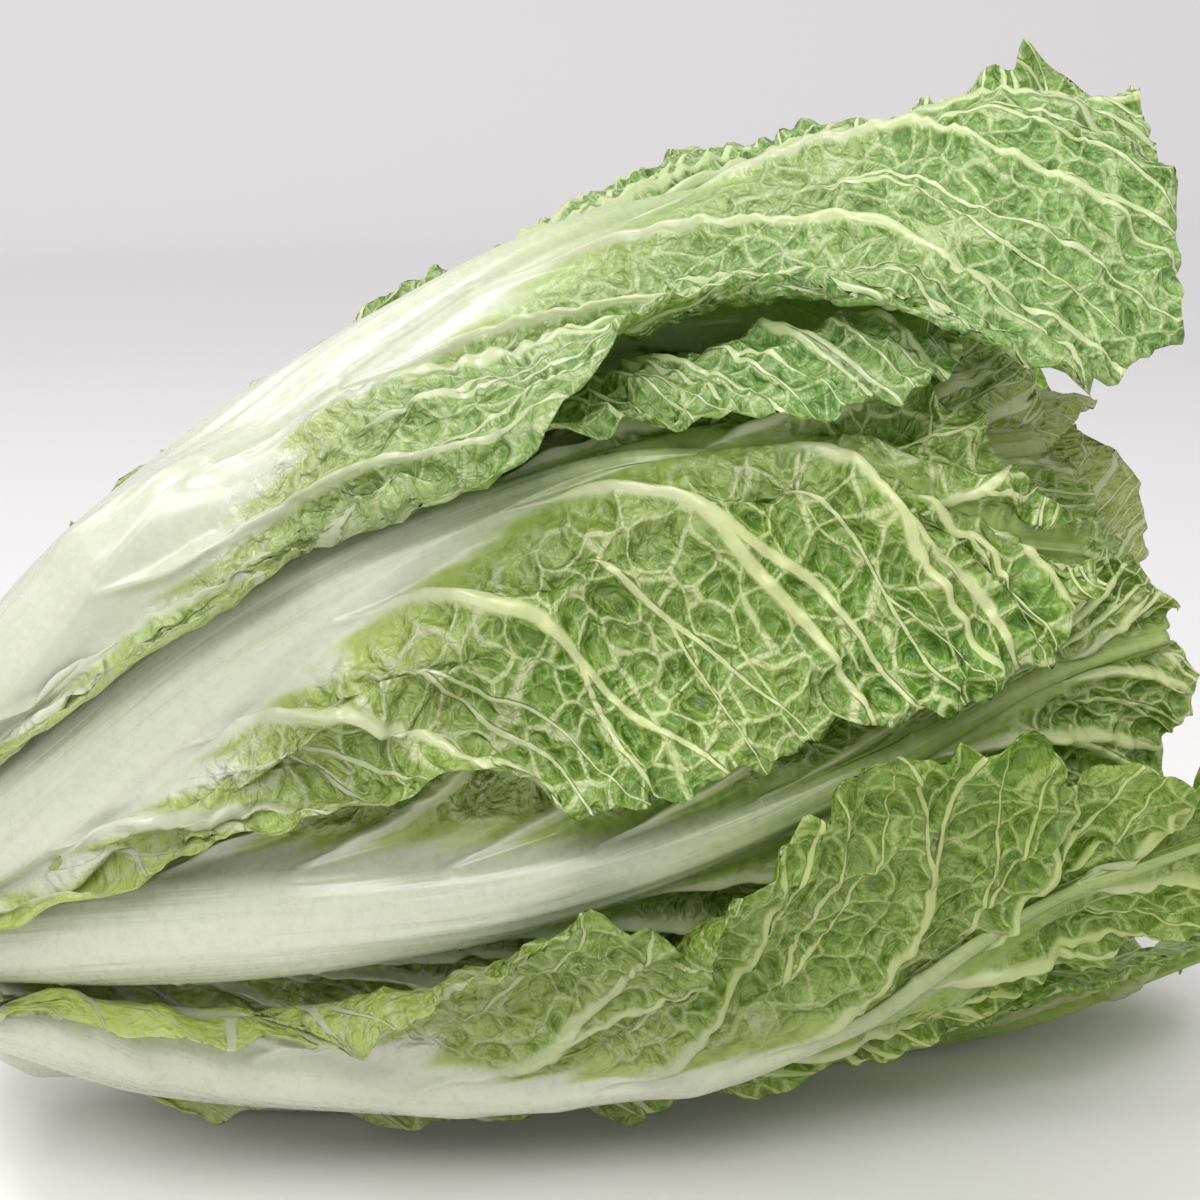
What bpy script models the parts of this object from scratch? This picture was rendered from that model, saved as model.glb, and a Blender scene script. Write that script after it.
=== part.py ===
"""Napa cabbage lying on its side: a cut stem, a tight heart and 24 separate ribbed, wavy leaves.

Every leaf is a thin closed shell, lofted from its midrib and its two margins. Those curves are
given in the head's own coordinates: distance along the axis from the cut end, turn about the
axis in degrees (0 faces -Y, 90 faces up), and radius. Leaves are laid on from the inside out,
each one raised just enough to lie clear of everything under it.
"""

import math
from dataclasses import dataclass

import bmesh
import bpy
import numpy as np

# Driving dimensions, in metres and degrees
TILT = math.radians(16.0)
BUTT = np.array((-0.140, 0.0, 0.050))
BLADE = 0.0013
GAP = 0.0013
VEIN = 0.0030
NET = 0.5
BODY_LENGTH = 0.300
BODY = (
    (-0.005, 0.020), (0.000, 0.027), (0.015, 0.042), (0.035, 0.055), (0.060, 0.067),
    (0.090, 0.078), (0.120, 0.086), (0.150, 0.090), (0.180, 0.090), (0.210, 0.087),
    (0.240, 0.080), (0.270, 0.068), (0.300, 0.048), (0.340, 0.020),
)
STEM = (
    (-0.003, 0.0215), (0.000, 0.0228), (0.006, 0.0225), (0.025, 0.0180), (0.050, 0.0130),
    (0.072, 0.0070),
)
HEART = (
    (0.078, 0.006), (0.095, 0.016), (0.120, 0.024), (0.160, 0.027), (0.200, 0.024), (0.225, 0.016),
    (0.240, 0.006),
)
HEART_FOLDS = 4
HEART_FOLD_DEPTH = 0.12

AXIS = np.array((math.cos(TILT), 0.0, math.sin(TILT)))
FRONT = np.array((0.0, -1.0, 0.0))
TOP = np.array((-math.sin(TILT), 0.0, math.cos(TILT)))

# Leaf lattice: rows follow the side veins, so they run ahead of the midrib towards the margin
DEGREE_WIDTH = 0.0015
ROW_LEAD = 0.8
ROW_BOW = 0.4
ROW_SHARES = (0.0, 0.22, 0.44)
BASE_DROP = 0.007
BASE_DROP_LENGTH = 0.085
REST_ROOM = 0.004
NARROWEST = 0.003
LEAST_RADIUS = 0.025
MARGIN_END = 0.965
RIB_COLUMNS = (0.55, 1.0)
WAVE_LOW = 0.10
WAVE_BASE = 0.6
WAVE_TIP = 0.9

# Grid that holds the outer surface of the leaves placed so far
S_FIRST = -0.015
S_CELL = 0.002
S_CELLS = 190
TURN_CELL = 2.0
TURN_CELLS = 180
SAMPLES = 9
LIFT_ROUNDS = 16

# Half width and thickness of a midrib, over distance from the leaf's base
WIDE_RIB = (
    (0.0, 0.0095), (0.03, 0.0155), (0.06, 0.0160), (0.10, 0.0115), (0.15, 0.0058), (0.20, 0.0030),
    (0.28, 0.0014),
)
MID_RIB = ((0.0, 0.0070), (0.05, 0.0120), (0.10, 0.0095), (0.15, 0.0055), (0.25, 0.0018))
SLIM_RIB = ((0.0, 0.0060), (0.05, 0.0090), (0.10, 0.0065), (0.20, 0.0018))
WIDE_DEPTH = (
    (0.0, 0.0075), (0.05, 0.0072), (0.10, 0.0060), (0.15, 0.0044), (0.20, 0.0034), (0.28, 0.0020),
)
MID_DEPTH = ((0.0, 0.0042), (0.05, 0.0048), (0.10, 0.0040), (0.20, 0.0022), (0.25, 0.0015))
SLIM_DEPTH = ((0.0, 0.0032), (0.05, 0.0036), (0.10, 0.0028), (0.20, 0.0015))

# Half width of a plain leaf over its length, both as shares
LEAF_SHAPE = (
    (0.0, 0.15), (0.12, 0.26), (0.25, 0.42), (0.40, 0.68), (0.55, 0.90), (0.70, 1.0),
    (0.85, 0.88), (0.94, 0.56), (1.0, 0.0),
)


@dataclass
class Leaf:
    """Curves and sizes of one leaf; upper is the margin at the greater turn."""

    name: str
    spine: tuple
    upper: tuple
    lower: tuple
    rib: tuple = WIDE_RIB
    depth: tuple = WIDE_DEPTH
    wave: tuple = (0.003, 0.003)
    belly: tuple = ((0.0, 0.0), (1.0, 0.0))
    floor: float = 0.0
    veins: int = 9
    blade_columns: tuple = (0.22, 0.48, 0.75, 1.0)
    vein: float = VEIN
    seed: int = 1
    color: str = "outer_green"


def curve(points, x):
    """Smooth curve through (x, y) points, read at x."""
    at, value = np.array(points).T
    slope = np.gradient(value, at)
    x = np.clip(x, at[0], at[-1])
    i = np.clip(np.searchsorted(at, x) - 1, 0, len(at) - 2)
    step = at[i + 1] - at[i]
    t = (x - at[i]) / step
    ends = value[i] * (1 - t) ** 2 * (1 + 2 * t) + value[i + 1] * t**2 * (3 - 2 * t)
    return ends + step * t * (1 - t) * (slope[i] * (1 - t) - slope[i + 1] * t)


def along(points, t):
    """Smooth curve through (distance, turn, radius) points, read at shares t of its length."""
    points = np.array(points)
    steps = np.diff(points, axis=0) * (1.0, DEGREE_WIDTH, 1.0)
    at = np.concatenate([[0.0], np.cumsum(np.linalg.norm(steps, axis=1))])
    return np.stack([curve(np.stack([at / at[-1], column], 1), t) for column in points.T], -1)


def place(s, turn, radius):
    """World points from head coordinates."""
    turn = np.radians(turn)
    outward = np.cos(turn)[..., None] * FRONT + np.sin(turn)[..., None] * TOP
    return BUTT + s[..., None] * AXIS + radius[..., None] * outward


def head_coordinates(points):
    """Distance along the axis, turn and radius of world points."""
    offset = points - BUTT
    front, top = offset @ FRONT, offset @ TOP
    return offset @ AXIS, np.degrees(np.arctan2(top, front)), np.hypot(front, top)


def floor_radius(s, turn, height):
    """Radius at which a point would be at this height above the surface the head lies on."""
    down = -np.sin(np.radians(turn)) * math.cos(TILT)
    room = (BUTT[2] + s * math.sin(TILT) - height) / np.maximum(down, 0.05)
    return np.where(down > 0.05, room, 1.0)


def triangle_samples(points):
    """Points spread over both triangles of every cell of a lattice of world points."""
    shares = [(p / SAMPLES, q / SAMPLES) for p in range(SAMPLES + 1) for q in range(SAMPLES + 1 - p)]
    a, b, c, d = points[:-1, :-1], points[1:, :-1], points[1:, 1:], points[:-1, 1:]
    halves = []
    for first, second, third in ((a, b, c), (a, c, d)):
        spread = [first * (1 - p - q) + second * p + third * q for p, q in shares]
        halves.append(np.stack(spread, axis=2))
    return np.stack(halves)


class Envelope:
    """Outer surface of everything placed so far: a radius for each distance and turn."""

    def __init__(self):
        self.radius = np.zeros((S_CELLS, TURN_CELLS))

    def cells(self, points):
        """Cell of each world point, and its radius."""
        s, turn, radius = head_coordinates(points)
        i = np.clip(np.round((s - S_FIRST) / S_CELL).astype(int), 0, S_CELLS - 1)
        j = np.round(turn / TURN_CELL).astype(int) % TURN_CELLS
        return i, j, radius

    def cover(self, points):
        """Raises the surface to the triangles of a lattice of world points."""
        i, j, radius = self.cells(triangle_samples(points))
        np.maximum.at(self.radius, (i, j), radius)

    def grown(self):
        """The surface with each cell raised to its highest neighbour."""
        pad = np.pad(self.radius, ((1, 1), (0, 0)), mode="edge")
        tall = np.maximum(np.maximum(pad[:-2], pad[1:-1]), pad[2:])
        return np.maximum(np.maximum(np.roll(tall, 1, 1), tall), np.roll(tall, -1, 1))


def clear_lift(s, turn, inner, envelope):
    """How far each lattice point has to rise for a leaf's inner face to clear the envelope."""
    under = envelope.grown()
    lift = np.zeros_like(inner)
    for _ in range(LIFT_ROUNDS):
        i, j, radius = envelope.cells(triangle_samples(place(s, turn, inner + lift)))
        first, second = np.max(under[i, j] + GAP - radius, axis=3)
        both = np.maximum(first, second)
        need = np.zeros_like(lift)
        for rows, columns, value in (
            (slice(0, -1), slice(0, -1), both),
            (slice(1, None), slice(0, -1), first),
            (slice(1, None), slice(1, None), both),
            (slice(0, -1), slice(1, None), second),
        ):
            need[rows, columns] = np.maximum(need[rows, columns], value)
        if need.max() <= 0:
            break
        lift += 0.7 * np.maximum(need, 0)
    return lift


def leaf_lattice(leaf):
    """Rows as shares of the midrib's length, and column marks: 1 at the rib's edge, 2 at the margin.

    Each side vein takes three rows: its foot, its crest and its other foot.
    """
    half = np.array(RIB_COLUMNS + tuple(1 + share for share in leaf.blade_columns))
    rows = np.add.outer(np.arange(leaf.veins), ROW_SHARES).ravel() / leaf.veins
    return np.append(rows, 1.0), np.concatenate([-half[::-1], [0.0], half])


def leaf_faces(leaf, envelope):
    """Distance, turn, inner radius and outer radius over a leaf's lattice."""
    row, mark = leaf_lattice(leaf)
    side = np.sign(mark)
    rib = np.clip(np.abs(mark), 0, 1)
    blade = np.clip(np.abs(mark) - 1, 0, 1)
    mid = along(leaf.spine, row)
    ahead = along(leaf.spine, np.minimum(row + 0.01, 1)) - along(leaf.spine, np.maximum(row - 0.01, 0))
    degree = np.radians(1.0) * np.maximum(mid[:, 2], LEAST_RADIUS)
    heading = np.stack([ahead[:, 0], ahead[:, 1] * degree], -1)
    heading /= np.linalg.norm(heading, axis=1, keepdims=True)
    half = curve(leaf.rib, mid[:, 0] - leaf.spine[0][0])
    depth = curve(leaf.depth, mid[:, 0] - leaf.spine[0][0])

    s = mid[:, :1] - heading[:, 1:] * half[:, None] * side * rib
    turn = mid[:, 1:2] + (heading[:, 0] * half / degree)[:, None] * side * rib
    inner = np.repeat((mid[:, 2] - depth)[:, None], len(mark), 1)
    for sign, margin in ((1, leaf.upper), (-1, leaf.lower)):
        edge = along(margin, MARGIN_END * row**ROW_LEAD)
        base = np.clip(1 - (edge[:, 0] - leaf.spine[0][0]) / BASE_DROP_LENGTH, 0, 1)
        edge[:, 2] -= BASE_DROP * base
        reach_s = edge[:, 0] - (mid[:, 0] - sign * half * heading[:, 1])
        reach_turn = edge[:, 1] - (mid[:, 1] + sign * half * heading[:, 0] / degree)
        reach_turn = sign * np.maximum(sign * reach_turn, NARROWEST / degree)
        out = np.where(side == sign, blade, 0.0)
        bow = ROW_BOW * np.hypot(reach_s, reach_turn * degree)[:, None] * out * (1 - out)
        s = s + reach_s[:, None] * out + bow
        turn = turn + reach_turn[:, None] * out
        inner = inner + (edge[:, 2] - BLADE - mid[:, 2] + depth)[:, None] * out
    inner = inner + curve(leaf.belly, row)[:, None] * np.where(side < 0, np.sin(np.pi * blade**0.8), 0.0)
    inner = np.minimum(inner, floor_radius(s, turn, leaf.floor) - BLADE)
    inner = inner + clear_lift(s, turn, inner, envelope)

    rise = np.random.default_rng(leaf.seed).uniform(0.35, 1.0, (2, len(row)))
    rise[:, 1::3] *= WAVE_LOW
    rise = rise * (WAVE_BASE + WAVE_TIP * row**3)
    height = np.where(side > 0, leaf.wave[0] * rise[0][:, None], leaf.wave[1] * rise[1][:, None])
    inner = np.minimum(inner + height * blade**1.6, floor_radius(s, turn, 0.0) - BLADE)
    crown = (1 - rib**2) ** 0.6
    number, column = np.arange(len(row))[:, None], np.arange(len(mark))[None]
    net = np.where((number // 3 + number + column) % 2 == 0, NET, 0.0)
    ridge = np.where(number % 3 == 1, 1.0, net) * leaf.vein
    ridge = ridge * (1 - 0.6 * blade) * np.minimum(blade / 0.2, 1.0)
    outer = inner + BLADE + (depth - BLADE)[:, None] * crown + ridge
    floor = floor_radius(s, turn, max(leaf.floor - REST_ROOM, 0.0))
    outer = np.minimum(outer, np.maximum(floor, inner + BLADE))
    return s, turn, inner, outer


def ring_radius(s, start, share):
    """Radius of a layer that leaves the stem at start and keeps a share of the head's outline."""
    return share * curve(BODY, (s - start) * BODY_LENGTH / (BODY_LENGTH - start))


def plain_leaf(name, turn, start, tip, share, width, twist=0.0, flare=0.0, radius=None, **rest):
    """A leaf of the usual outline, laid up the head with a slight twist; radius overrides its ring."""

    def path(s, part):
        base = curve(radius, s) if radius else ring_radius(s, start, share)
        return base + flare * part**4

    part = np.linspace(0, 1, 7)
    s = start + (tip - start) * part
    spine = tuple(zip(s, turn + twist * part, path(s, part)))
    part, half = np.array(LEAF_SHAPE).T
    s = start + 0.004 + (tip + 0.002 - start) * part
    r = path(s, part)
    swing = np.degrees(width * half / np.maximum(r, LEAST_RADIUS))
    upper = tuple(zip(s, turn + twist * part + swing, r))
    lower = tuple(zip(s, turn + twist * part - swing, r))
    return Leaf(name, spine, upper, lower, **rest)


def on_body(lift, *points):
    """(distance, turn) pairs laid over the closed head at a lift."""
    return tuple((s, turn, float(curve(BODY, s)) + lift) for s, turn in points)


def heart_leaves():
    """Three small leaves folded round the heart."""
    return [
        plain_leaf(f"heart_leaf_{k + 1}", 100 + 130 * k, 0.074, 0.246 + 0.003 * k, 0.42 + 0.02 * k, 0.046,
                   twist=12, flare=-0.020, wave=(0.002, 0.002), rib=SLIM_RIB, depth=SLIM_DEPTH, vein=0.0010,
                   veins=2, blade_columns=(0.5, 1.0), seed=60 + k, color="heart_yellow")
        for k in range(3)
    ]


def inner_leaves():
    """The ring of pale leaves round the heart, each a turn and two fifths from the last."""
    return [
        plain_leaf(f"inner_leaf_{k + 1}", 40 + 144 * k, 0.046, 0.252 + 0.002 * k, 0.54 + 0.015 * k, 0.060,
                   twist=8, flare=-0.026, wave=(0.003, 0.003), rib=SLIM_RIB, depth=SLIM_DEPTH, vein=0.0014,
                   veins=3, blade_columns=(0.3, 0.65, 1.0), floor=0.037, seed=20 + k, color="inner_green")
        for k in range(5)
    ]


def middle_leaves():
    """The ring under the outer leaves, longest on the far side."""
    turns_and_tips = ((200, 0.262), (-40, 0.250), (110, 0.252), (-105, 0.258), (32, 0.240), (160, 0.264))
    return [
        plain_leaf(f"middle_leaf_{k + 1}", turn, 0.024, tip, 0.72 + 0.012 * k, 0.074,
                   twist=6, flare=-0.020, wave=(0.004, 0.004), rib=MID_RIB, depth=MID_DEPTH, vein=0.0018,
                   veins=3, blade_columns=(0.3, 0.65, 1.0), floor=0.028, seed=40 + k, color="middle_green")
        for k, (turn, tip) in enumerate(turns_and_tips)
    ]


def far_leaves():
    """The outer leaves at the back and underneath, which the head rests on."""
    columns = (0.3, 0.65, 1.0)
    rest_line = ((0.0, 0.030), (0.03, 0.055), (0.06, 0.069), (0.10, 0.083), (0.15, 0.096), (0.18, 0.103),
                 (0.21, 0.108), (0.235, 0.110), (0.27, 0.107))
    rest_depth = ((0.0, 0.0075), (0.05, 0.0088), (0.12, 0.0088), (0.17, 0.0066), (0.20, 0.0040), (0.28, 0.0020))
    return [
        plain_leaf("outer_leaf_back_low", -166, 0.002, 0.275, 0.93, 0.084, twist=8, wave=(0.004, 0.005),
                   floor=0.0175, veins=4, blade_columns=columns, seed=5),
        plain_leaf("outer_leaf_back_top", 106, 0.002, 0.262, 0.93, 0.080, twist=14, wave=(0.004, 0.005),
                   veins=4, blade_columns=columns, seed=6),
        plain_leaf("outer_leaf_under_back", -126, 0.001, 0.268, 0.94, 0.080, twist=6, wave=(0.003, 0.005),
                   floor=0.0155, veins=4, blade_columns=columns, seed=7),
        plain_leaf("outer_leaf_back", 150, 0.001, 0.285, 0.95, 0.088, twist=8, flare=0.015,
                   wave=(0.006, 0.006), veins=4, blade_columns=columns, seed=8),
        plain_leaf("outer_leaf_under", -90, 0.000, 0.258, 0.99, 0.068, twist=6, radius=rest_line,
                   depth=rest_depth, floor=0.004, wave=(0.003, 0.006), seed=9),
    ]


def right_leaf():
    """The leaf between the central and the bottom one; its end shows at the right."""
    return Leaf(
        "outer_leaf_right",
        spine=((0.000, -1, 0.031), (0.030, -2, 0.051), (0.066, -6, 0.067), (0.102, -9, 0.078),
               (0.131, -8, 0.085), (0.177, -5, 0.0875), (0.216, -2, 0.083), (0.242, -4, 0.078)),
        upper=on_body(-0.003, (0.002, 16), (0.030, 18), (0.060, 22), (0.090, 26), (0.120, 30), (0.150, 34),
                      (0.180, 34), (0.205, 26), (0.225, 16), (0.241, 5), (0.249, -5)),
        lower=on_body(-0.003, (0.002, -22), (0.030, -30), (0.060, -36), (0.090, -40), (0.120, -43),
                      (0.150, -44), (0.180, -44), (0.210, -39), (0.232, -28), (0.244, -16), (0.249, -5)),
        rib=((0.0, 0.008), (0.03, 0.012), (0.06, 0.0125), (0.10, 0.009), (0.15, 0.0048), (0.20, 0.0026),
             (0.24, 0.0014)),
        wave=(0.002, 0.002),
        seed=3,
    )


def centre_leaf():
    """The leaf that faces the front, its end bending down."""
    return Leaf(
        "outer_leaf_centre",
        spine=((0.000, 29, 0.031), (0.030, 36, 0.055), (0.055, 41, 0.068), (0.087, 44, 0.080),
               (0.126, 43, 0.090), (0.153, 41, 0.093), (0.172, 36, 0.093), (0.190, 28, 0.092),
               (0.209, 18, 0.090), (0.226, 13, 0.086)),
        upper=on_body(0.002, (0.002, 48), (0.030, 55), (0.060, 60), (0.100, 62), (0.130, 63), (0.155, 60),
                      (0.172, 52), (0.188, 41), (0.209, 28), (0.229, 15)),
        lower=on_body(0.004, (0.002, 14), (0.020, 18), (0.037, 20), (0.050, 23), (0.060, 16), (0.078, 13),
                      (0.107, 13), (0.116, 8), (0.125, 5), (0.143, 3), (0.173, 4), (0.189, 2), (0.207, 3),
                      (0.219, 7), (0.229, 15)),
        rib=((0.0, 0.008), (0.03, 0.013), (0.06, 0.0135), (0.10, 0.0088), (0.13, 0.0040), (0.16, 0.0022),
             (0.225, 0.0014)),
        wave=(0.003, 0.008),
        seed=12,
    )


def tucked_leaf():
    """The leaf between the top and the central one; most of it is covered."""
    return Leaf(
        "outer_leaf_tucked",
        spine=((0.022, 76, 0.029), (0.060, 78, 0.056), (0.110, 80, 0.080), (0.150, 80, 0.090),
               (0.180, 74, 0.092), (0.205, 62, 0.090), (0.218, 52, 0.087)),
        upper=((0.024, 90, 0.028), (0.060, 98, 0.054), (0.100, 104, 0.076), (0.140, 112, 0.087),
               (0.180, 108, 0.090), (0.205, 92, 0.088), (0.220, 70, 0.086), (0.222, 48, 0.087)),
        lower=((0.024, 62, 0.028), (0.060, 60, 0.056), (0.090, 60, 0.078), (0.115, 54, 0.088),
               (0.139, 44, 0.092), (0.155, 42, 0.094), (0.173, 38, 0.094), (0.192, 36, 0.093),
               (0.206, 35, 0.091), (0.216, 40, 0.089), (0.222, 48, 0.087)),
        rib=MID_RIB,
        depth=MID_DEPTH,
        wave=(0.002, 0.005),
        seed=13,
    )


def bottom_leaf():
    """The leaf along the bottom, its end turned out towards the front."""
    return Leaf(
        "outer_leaf_bottom",
        spine=((-0.001, -36, 0.031), (0.030, -43, 0.053), (0.057, -46, 0.066), (0.084, -48, 0.077),
               (0.112, -47, 0.085), (0.132, -46, 0.089), (0.152, -45, 0.092), (0.167, -43, 0.093),
               (0.178, -39, 0.093), (0.190, -34, 0.094), (0.208, -28, 0.097), (0.220, -26, 0.100),
               (0.232, -24, 0.103), (0.255, -22, 0.109), (0.275, -21, 0.113)),
        upper=on_body(0.005, (0.001, -17), (0.015, -18), (0.035, -20), (0.065, -25), (0.085, -14),
                      (0.099, -12), (0.115, -8), (0.127, -12), (0.134, -20), (0.140, -11), (0.152, -8),
                      (0.159, -3))
        + ((0.173, 0, 0.093), (0.188, -1, 0.096), (0.201, -2, 0.099), (0.208, -9, 0.099), (0.218, -9, 0.101),
           (0.231, -13, 0.101), (0.250, -14, 0.104), (0.270, -16, 0.110), (0.284, -20, 0.114)),
        lower=((0.001, -57, 0.031), (0.030, -64, 0.052), (0.060, -62, 0.065), (0.100, -60, 0.079),
               (0.140, -59, 0.087), (0.168, -57, 0.092), (0.190, -55, 0.094), (0.205, -54, 0.094),
               (0.222, -52, 0.096), (0.245, -46, 0.102), (0.268, -36, 0.110), (0.284, -20, 0.114)),
        wave=(0.009, 0.003),
        seed=14,
    )


def top_leaf():
    """The outermost leaf, along the top; its end flares up and its near blade turns under."""
    return Leaf(
        "outer_leaf_top",
        spine=((0.000, 62, 0.032), (0.030, 64, 0.058), (0.055, 68, 0.073), (0.079, 73, 0.082),
               (0.102, 77, 0.089), (0.126, 80, 0.094), (0.148, 82, 0.097), (0.187, 84, 0.096),
               (0.212, 85, 0.091), (0.245, 85, 0.084), (0.259, 84, 0.082), (0.270, 84, 0.084),
               (0.278, 84, 0.088)),
        upper=((0.002, 79, 0.031), (0.030, 81, 0.055), (0.060, 86, 0.070), (0.090, 91, 0.081),
               (0.120, 96, 0.088), (0.145, 103, 0.093), (0.172, 114, 0.098), (0.205, 120, 0.102),
               (0.230, 114, 0.099), (0.248, 105, 0.092), (0.260, 99, 0.092), (0.270, 93, 0.095),
               (0.278, 87, 0.101)),
        lower=on_body(0.006, (0.002, 46), (0.029, 46), (0.054, 48), (0.072, 50), (0.089, 54), (0.098, 53),
                      (0.113, 44), (0.125, 41), (0.138, 43), (0.151, 48))
        + ((0.160, 55, 0.099), (0.172, 58, 0.101), (0.190, 56, 0.101), (0.206, 44, 0.102), (0.224, 34, 0.098),
           (0.245, 31, 0.088), (0.260, 36, 0.086), (0.267, 44, 0.088), (0.272, 54, 0.089), (0.277, 65, 0.088),
           (0.280, 74, 0.087), (0.281, 80, 0.089)),
        belly=((0.0, 0.0), (0.55, 0.0), (0.7, 0.008), (0.85, 0.010), (1.0, 0.003)),
        wave=(0.005, 0.006),
        seed=11,
    )


def leaves_inside_out():
    """Every leaf in the order in which they lie on each other."""
    inside = heart_leaves() + inner_leaves() + middle_leaves()
    return inside + far_leaves() + [right_leaf(), centre_leaf(), tucked_leaf(), bottom_leaf(), top_leaf()]


def add_object(name, mesh, collection, material):
    """An object of a mesh, in the cabbage's collection."""
    obj = bpy.data.objects.new(name, mesh)
    mesh.materials.append(material)
    collection.objects.link(obj)
    return obj


def shell_mesh(name, inner, outer):
    """A closed thin shell between two lattices of world points, split alike on both faces."""
    rows, columns = inner.shape[:2]
    count = rows * columns
    index = np.arange(count).reshape(rows, columns)
    faces = []
    a, b, c, d = index[:-1, :-1], index[1:, :-1], index[1:, 1:], index[:-1, 1:]
    for first, second, third in ((a, b, c), (a, c, d)):
        triangles = np.stack([first, second, third], -1).reshape(-1, 3)
        faces += (triangles + count).tolist() + triangles[:, ::-1].tolist()
    rim = np.concatenate([index[0, :-1], index[:-1, -1], index[-1, :0:-1], index[:0:-1, 0]])
    for start, end in zip(rim, np.roll(rim, -1)):
        faces += [(start, start + count, end + count), (start, end + count, end)]
    mesh = bpy.data.meshes.new(name)
    mesh.from_pydata(np.concatenate([inner.reshape(-1, 3), outer.reshape(-1, 3)]).tolist(), [], faces)
    bm = bmesh.new()
    bm.from_mesh(mesh)
    bmesh.ops.recalc_face_normals(bm, faces=bm.faces)
    bm.to_mesh(mesh)
    bm.free()
    mesh.shade_smooth()
    mesh.set_sharp_from_angle(angle=math.radians(75))
    return mesh


def turned_lattice(profile, rows, columns):
    """World points of a turned shape on the head's axis, the last column meeting the first."""
    s = np.linspace(profile[0][0], profile[-1][0], rows)
    turn = np.linspace(0, 360, columns + 1)
    s, turn = np.meshgrid(s, turn, indexing="ij")
    return s, turn, curve(profile, s)


def build_stem(collection, material):
    """The cut stem: a profile turned about the head's axis."""
    mesh = bpy.data.meshes.new("cut_stem")
    points = [(STEM[-1][0], 0.0), *reversed(STEM), (STEM[0][0], 0.0)]
    mesh.from_pydata([(r, 0, s) for s, r in points], [(i, i + 1) for i in range(len(points) - 1)], [])
    stem = add_object("cut_stem", mesh, collection, material)
    stem.location = BUTT.tolist()
    stem.rotation_euler = (0, math.pi / 2 - TILT, 0)
    screw = stem.modifiers.new("Turn", "SCREW")
    screw.steps = screw.render_steps = 24
    screw.use_merge_vertices = True
    screw.merge_threshold = 0.00005


def build_heart(collection, material):
    """The heart: the tightest leaves, folded over one another in one closed body."""
    s, turn, radius = turned_lattice(HEART, 12, 28)
    fold = (turn / 360 * HEART_FOLDS + (s - HEART[0][0]) * 6.0) % 1.0
    radius = radius * (1 - HEART_FOLD_DEPTH * fold)
    points = place(s, turn, radius)[:, :-1]
    bm = bmesh.new()
    rings = [[bm.verts.new(point) for point in ring] for ring in points]
    for low, high in zip(rings, rings[1:]):
        for k in range(len(low)):
            bm.faces.new((low[k - 1], low[k], high[k], high[k - 1]))
    for ring, end in ((rings[0], HEART[0][0] - 0.003), (rings[-1], HEART[-1][0] + 0.004)):
        pole = bm.verts.new(BUTT + end * AXIS)
        for k in range(len(ring)):
            bm.faces.new((ring[k - 1], ring[k], pole))
    bmesh.ops.recalc_face_normals(bm, faces=bm.faces)
    mesh = bpy.data.meshes.new("heart")
    bm.to_mesh(mesh)
    bm.free()
    mesh.shade_smooth()
    add_object("heart", mesh, collection, material)


def make_material(name, color, roughness):
    """A Principled material of one colour."""
    material = bpy.data.materials.new(name)
    material.use_nodes = True
    shader = material.node_tree.nodes["Principled BSDF"]
    shader.inputs["Base Color"].default_value = (*color, 1)
    shader.inputs["Roughness"].default_value = roughness
    shader.inputs["Metallic"].default_value = 0.0
    return material


def main():
    for obj in list(bpy.data.objects):
        bpy.data.objects.remove(obj)
    collection = bpy.data.collections.new("napa_cabbage")
    bpy.context.scene.collection.children.link(collection)
    materials = {
        "stem_white": make_material("stem_white", (0.78, 0.76, 0.60), 0.45),
        "heart_yellow": make_material("heart_yellow", (0.72, 0.74, 0.30), 0.40),
        "inner_green": make_material("inner_green", (0.58, 0.68, 0.26), 0.40),
        "middle_green": make_material("middle_green", (0.42, 0.58, 0.18), 0.38),
        "outer_green": make_material("outer_green", (0.30, 0.48, 0.13), 0.36),
    }
    build_stem(collection, materials["stem_white"])
    build_heart(collection, materials["heart_yellow"])
    envelope = Envelope()
    for profile in (STEM, HEART):
        envelope.cover(place(*turned_lattice(profile, 30, 60)))
    for leaf in leaves_inside_out():
        s, turn, inner, outer = leaf_faces(leaf, envelope)
        envelope.cover(place(s, turn, outer))
        mesh = shell_mesh(leaf.name, place(s, turn, inner), place(s, turn, outer))
        add_object(leaf.name, mesh, collection, materials[leaf.color])


main()
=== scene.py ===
"""Dresses a napa cabbage that lies on its side, leaf by leaf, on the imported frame.

Every leaf is drawn from its midrib and its two margins, given in the head's own coordinates:
distance along the axis from the cut end, turn about the axis in degrees (0 faces -Y, 90 faces up),
and radius. The leaves are laid on from the inside out. Each one drapes over those under it, and
then takes its ribs, side veins, ruffled margins and raised net.
"""

import logging
import math
from dataclasses import dataclass, replace
from enum import Enum

import bpy
import numpy as np
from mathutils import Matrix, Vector


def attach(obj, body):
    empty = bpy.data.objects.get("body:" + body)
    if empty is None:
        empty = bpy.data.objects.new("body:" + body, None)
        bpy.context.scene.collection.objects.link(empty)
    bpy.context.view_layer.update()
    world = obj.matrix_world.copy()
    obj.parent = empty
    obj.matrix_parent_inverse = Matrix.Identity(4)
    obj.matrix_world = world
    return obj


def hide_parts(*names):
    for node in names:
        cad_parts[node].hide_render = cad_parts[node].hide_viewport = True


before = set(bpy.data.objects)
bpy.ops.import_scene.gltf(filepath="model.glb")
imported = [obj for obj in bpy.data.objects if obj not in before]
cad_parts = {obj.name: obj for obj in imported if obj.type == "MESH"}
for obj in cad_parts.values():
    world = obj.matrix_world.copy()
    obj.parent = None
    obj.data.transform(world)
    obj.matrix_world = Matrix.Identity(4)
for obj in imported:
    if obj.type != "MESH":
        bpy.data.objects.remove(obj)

Array = np.ndarray
Points = tuple[tuple[float, ...], ...]

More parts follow.
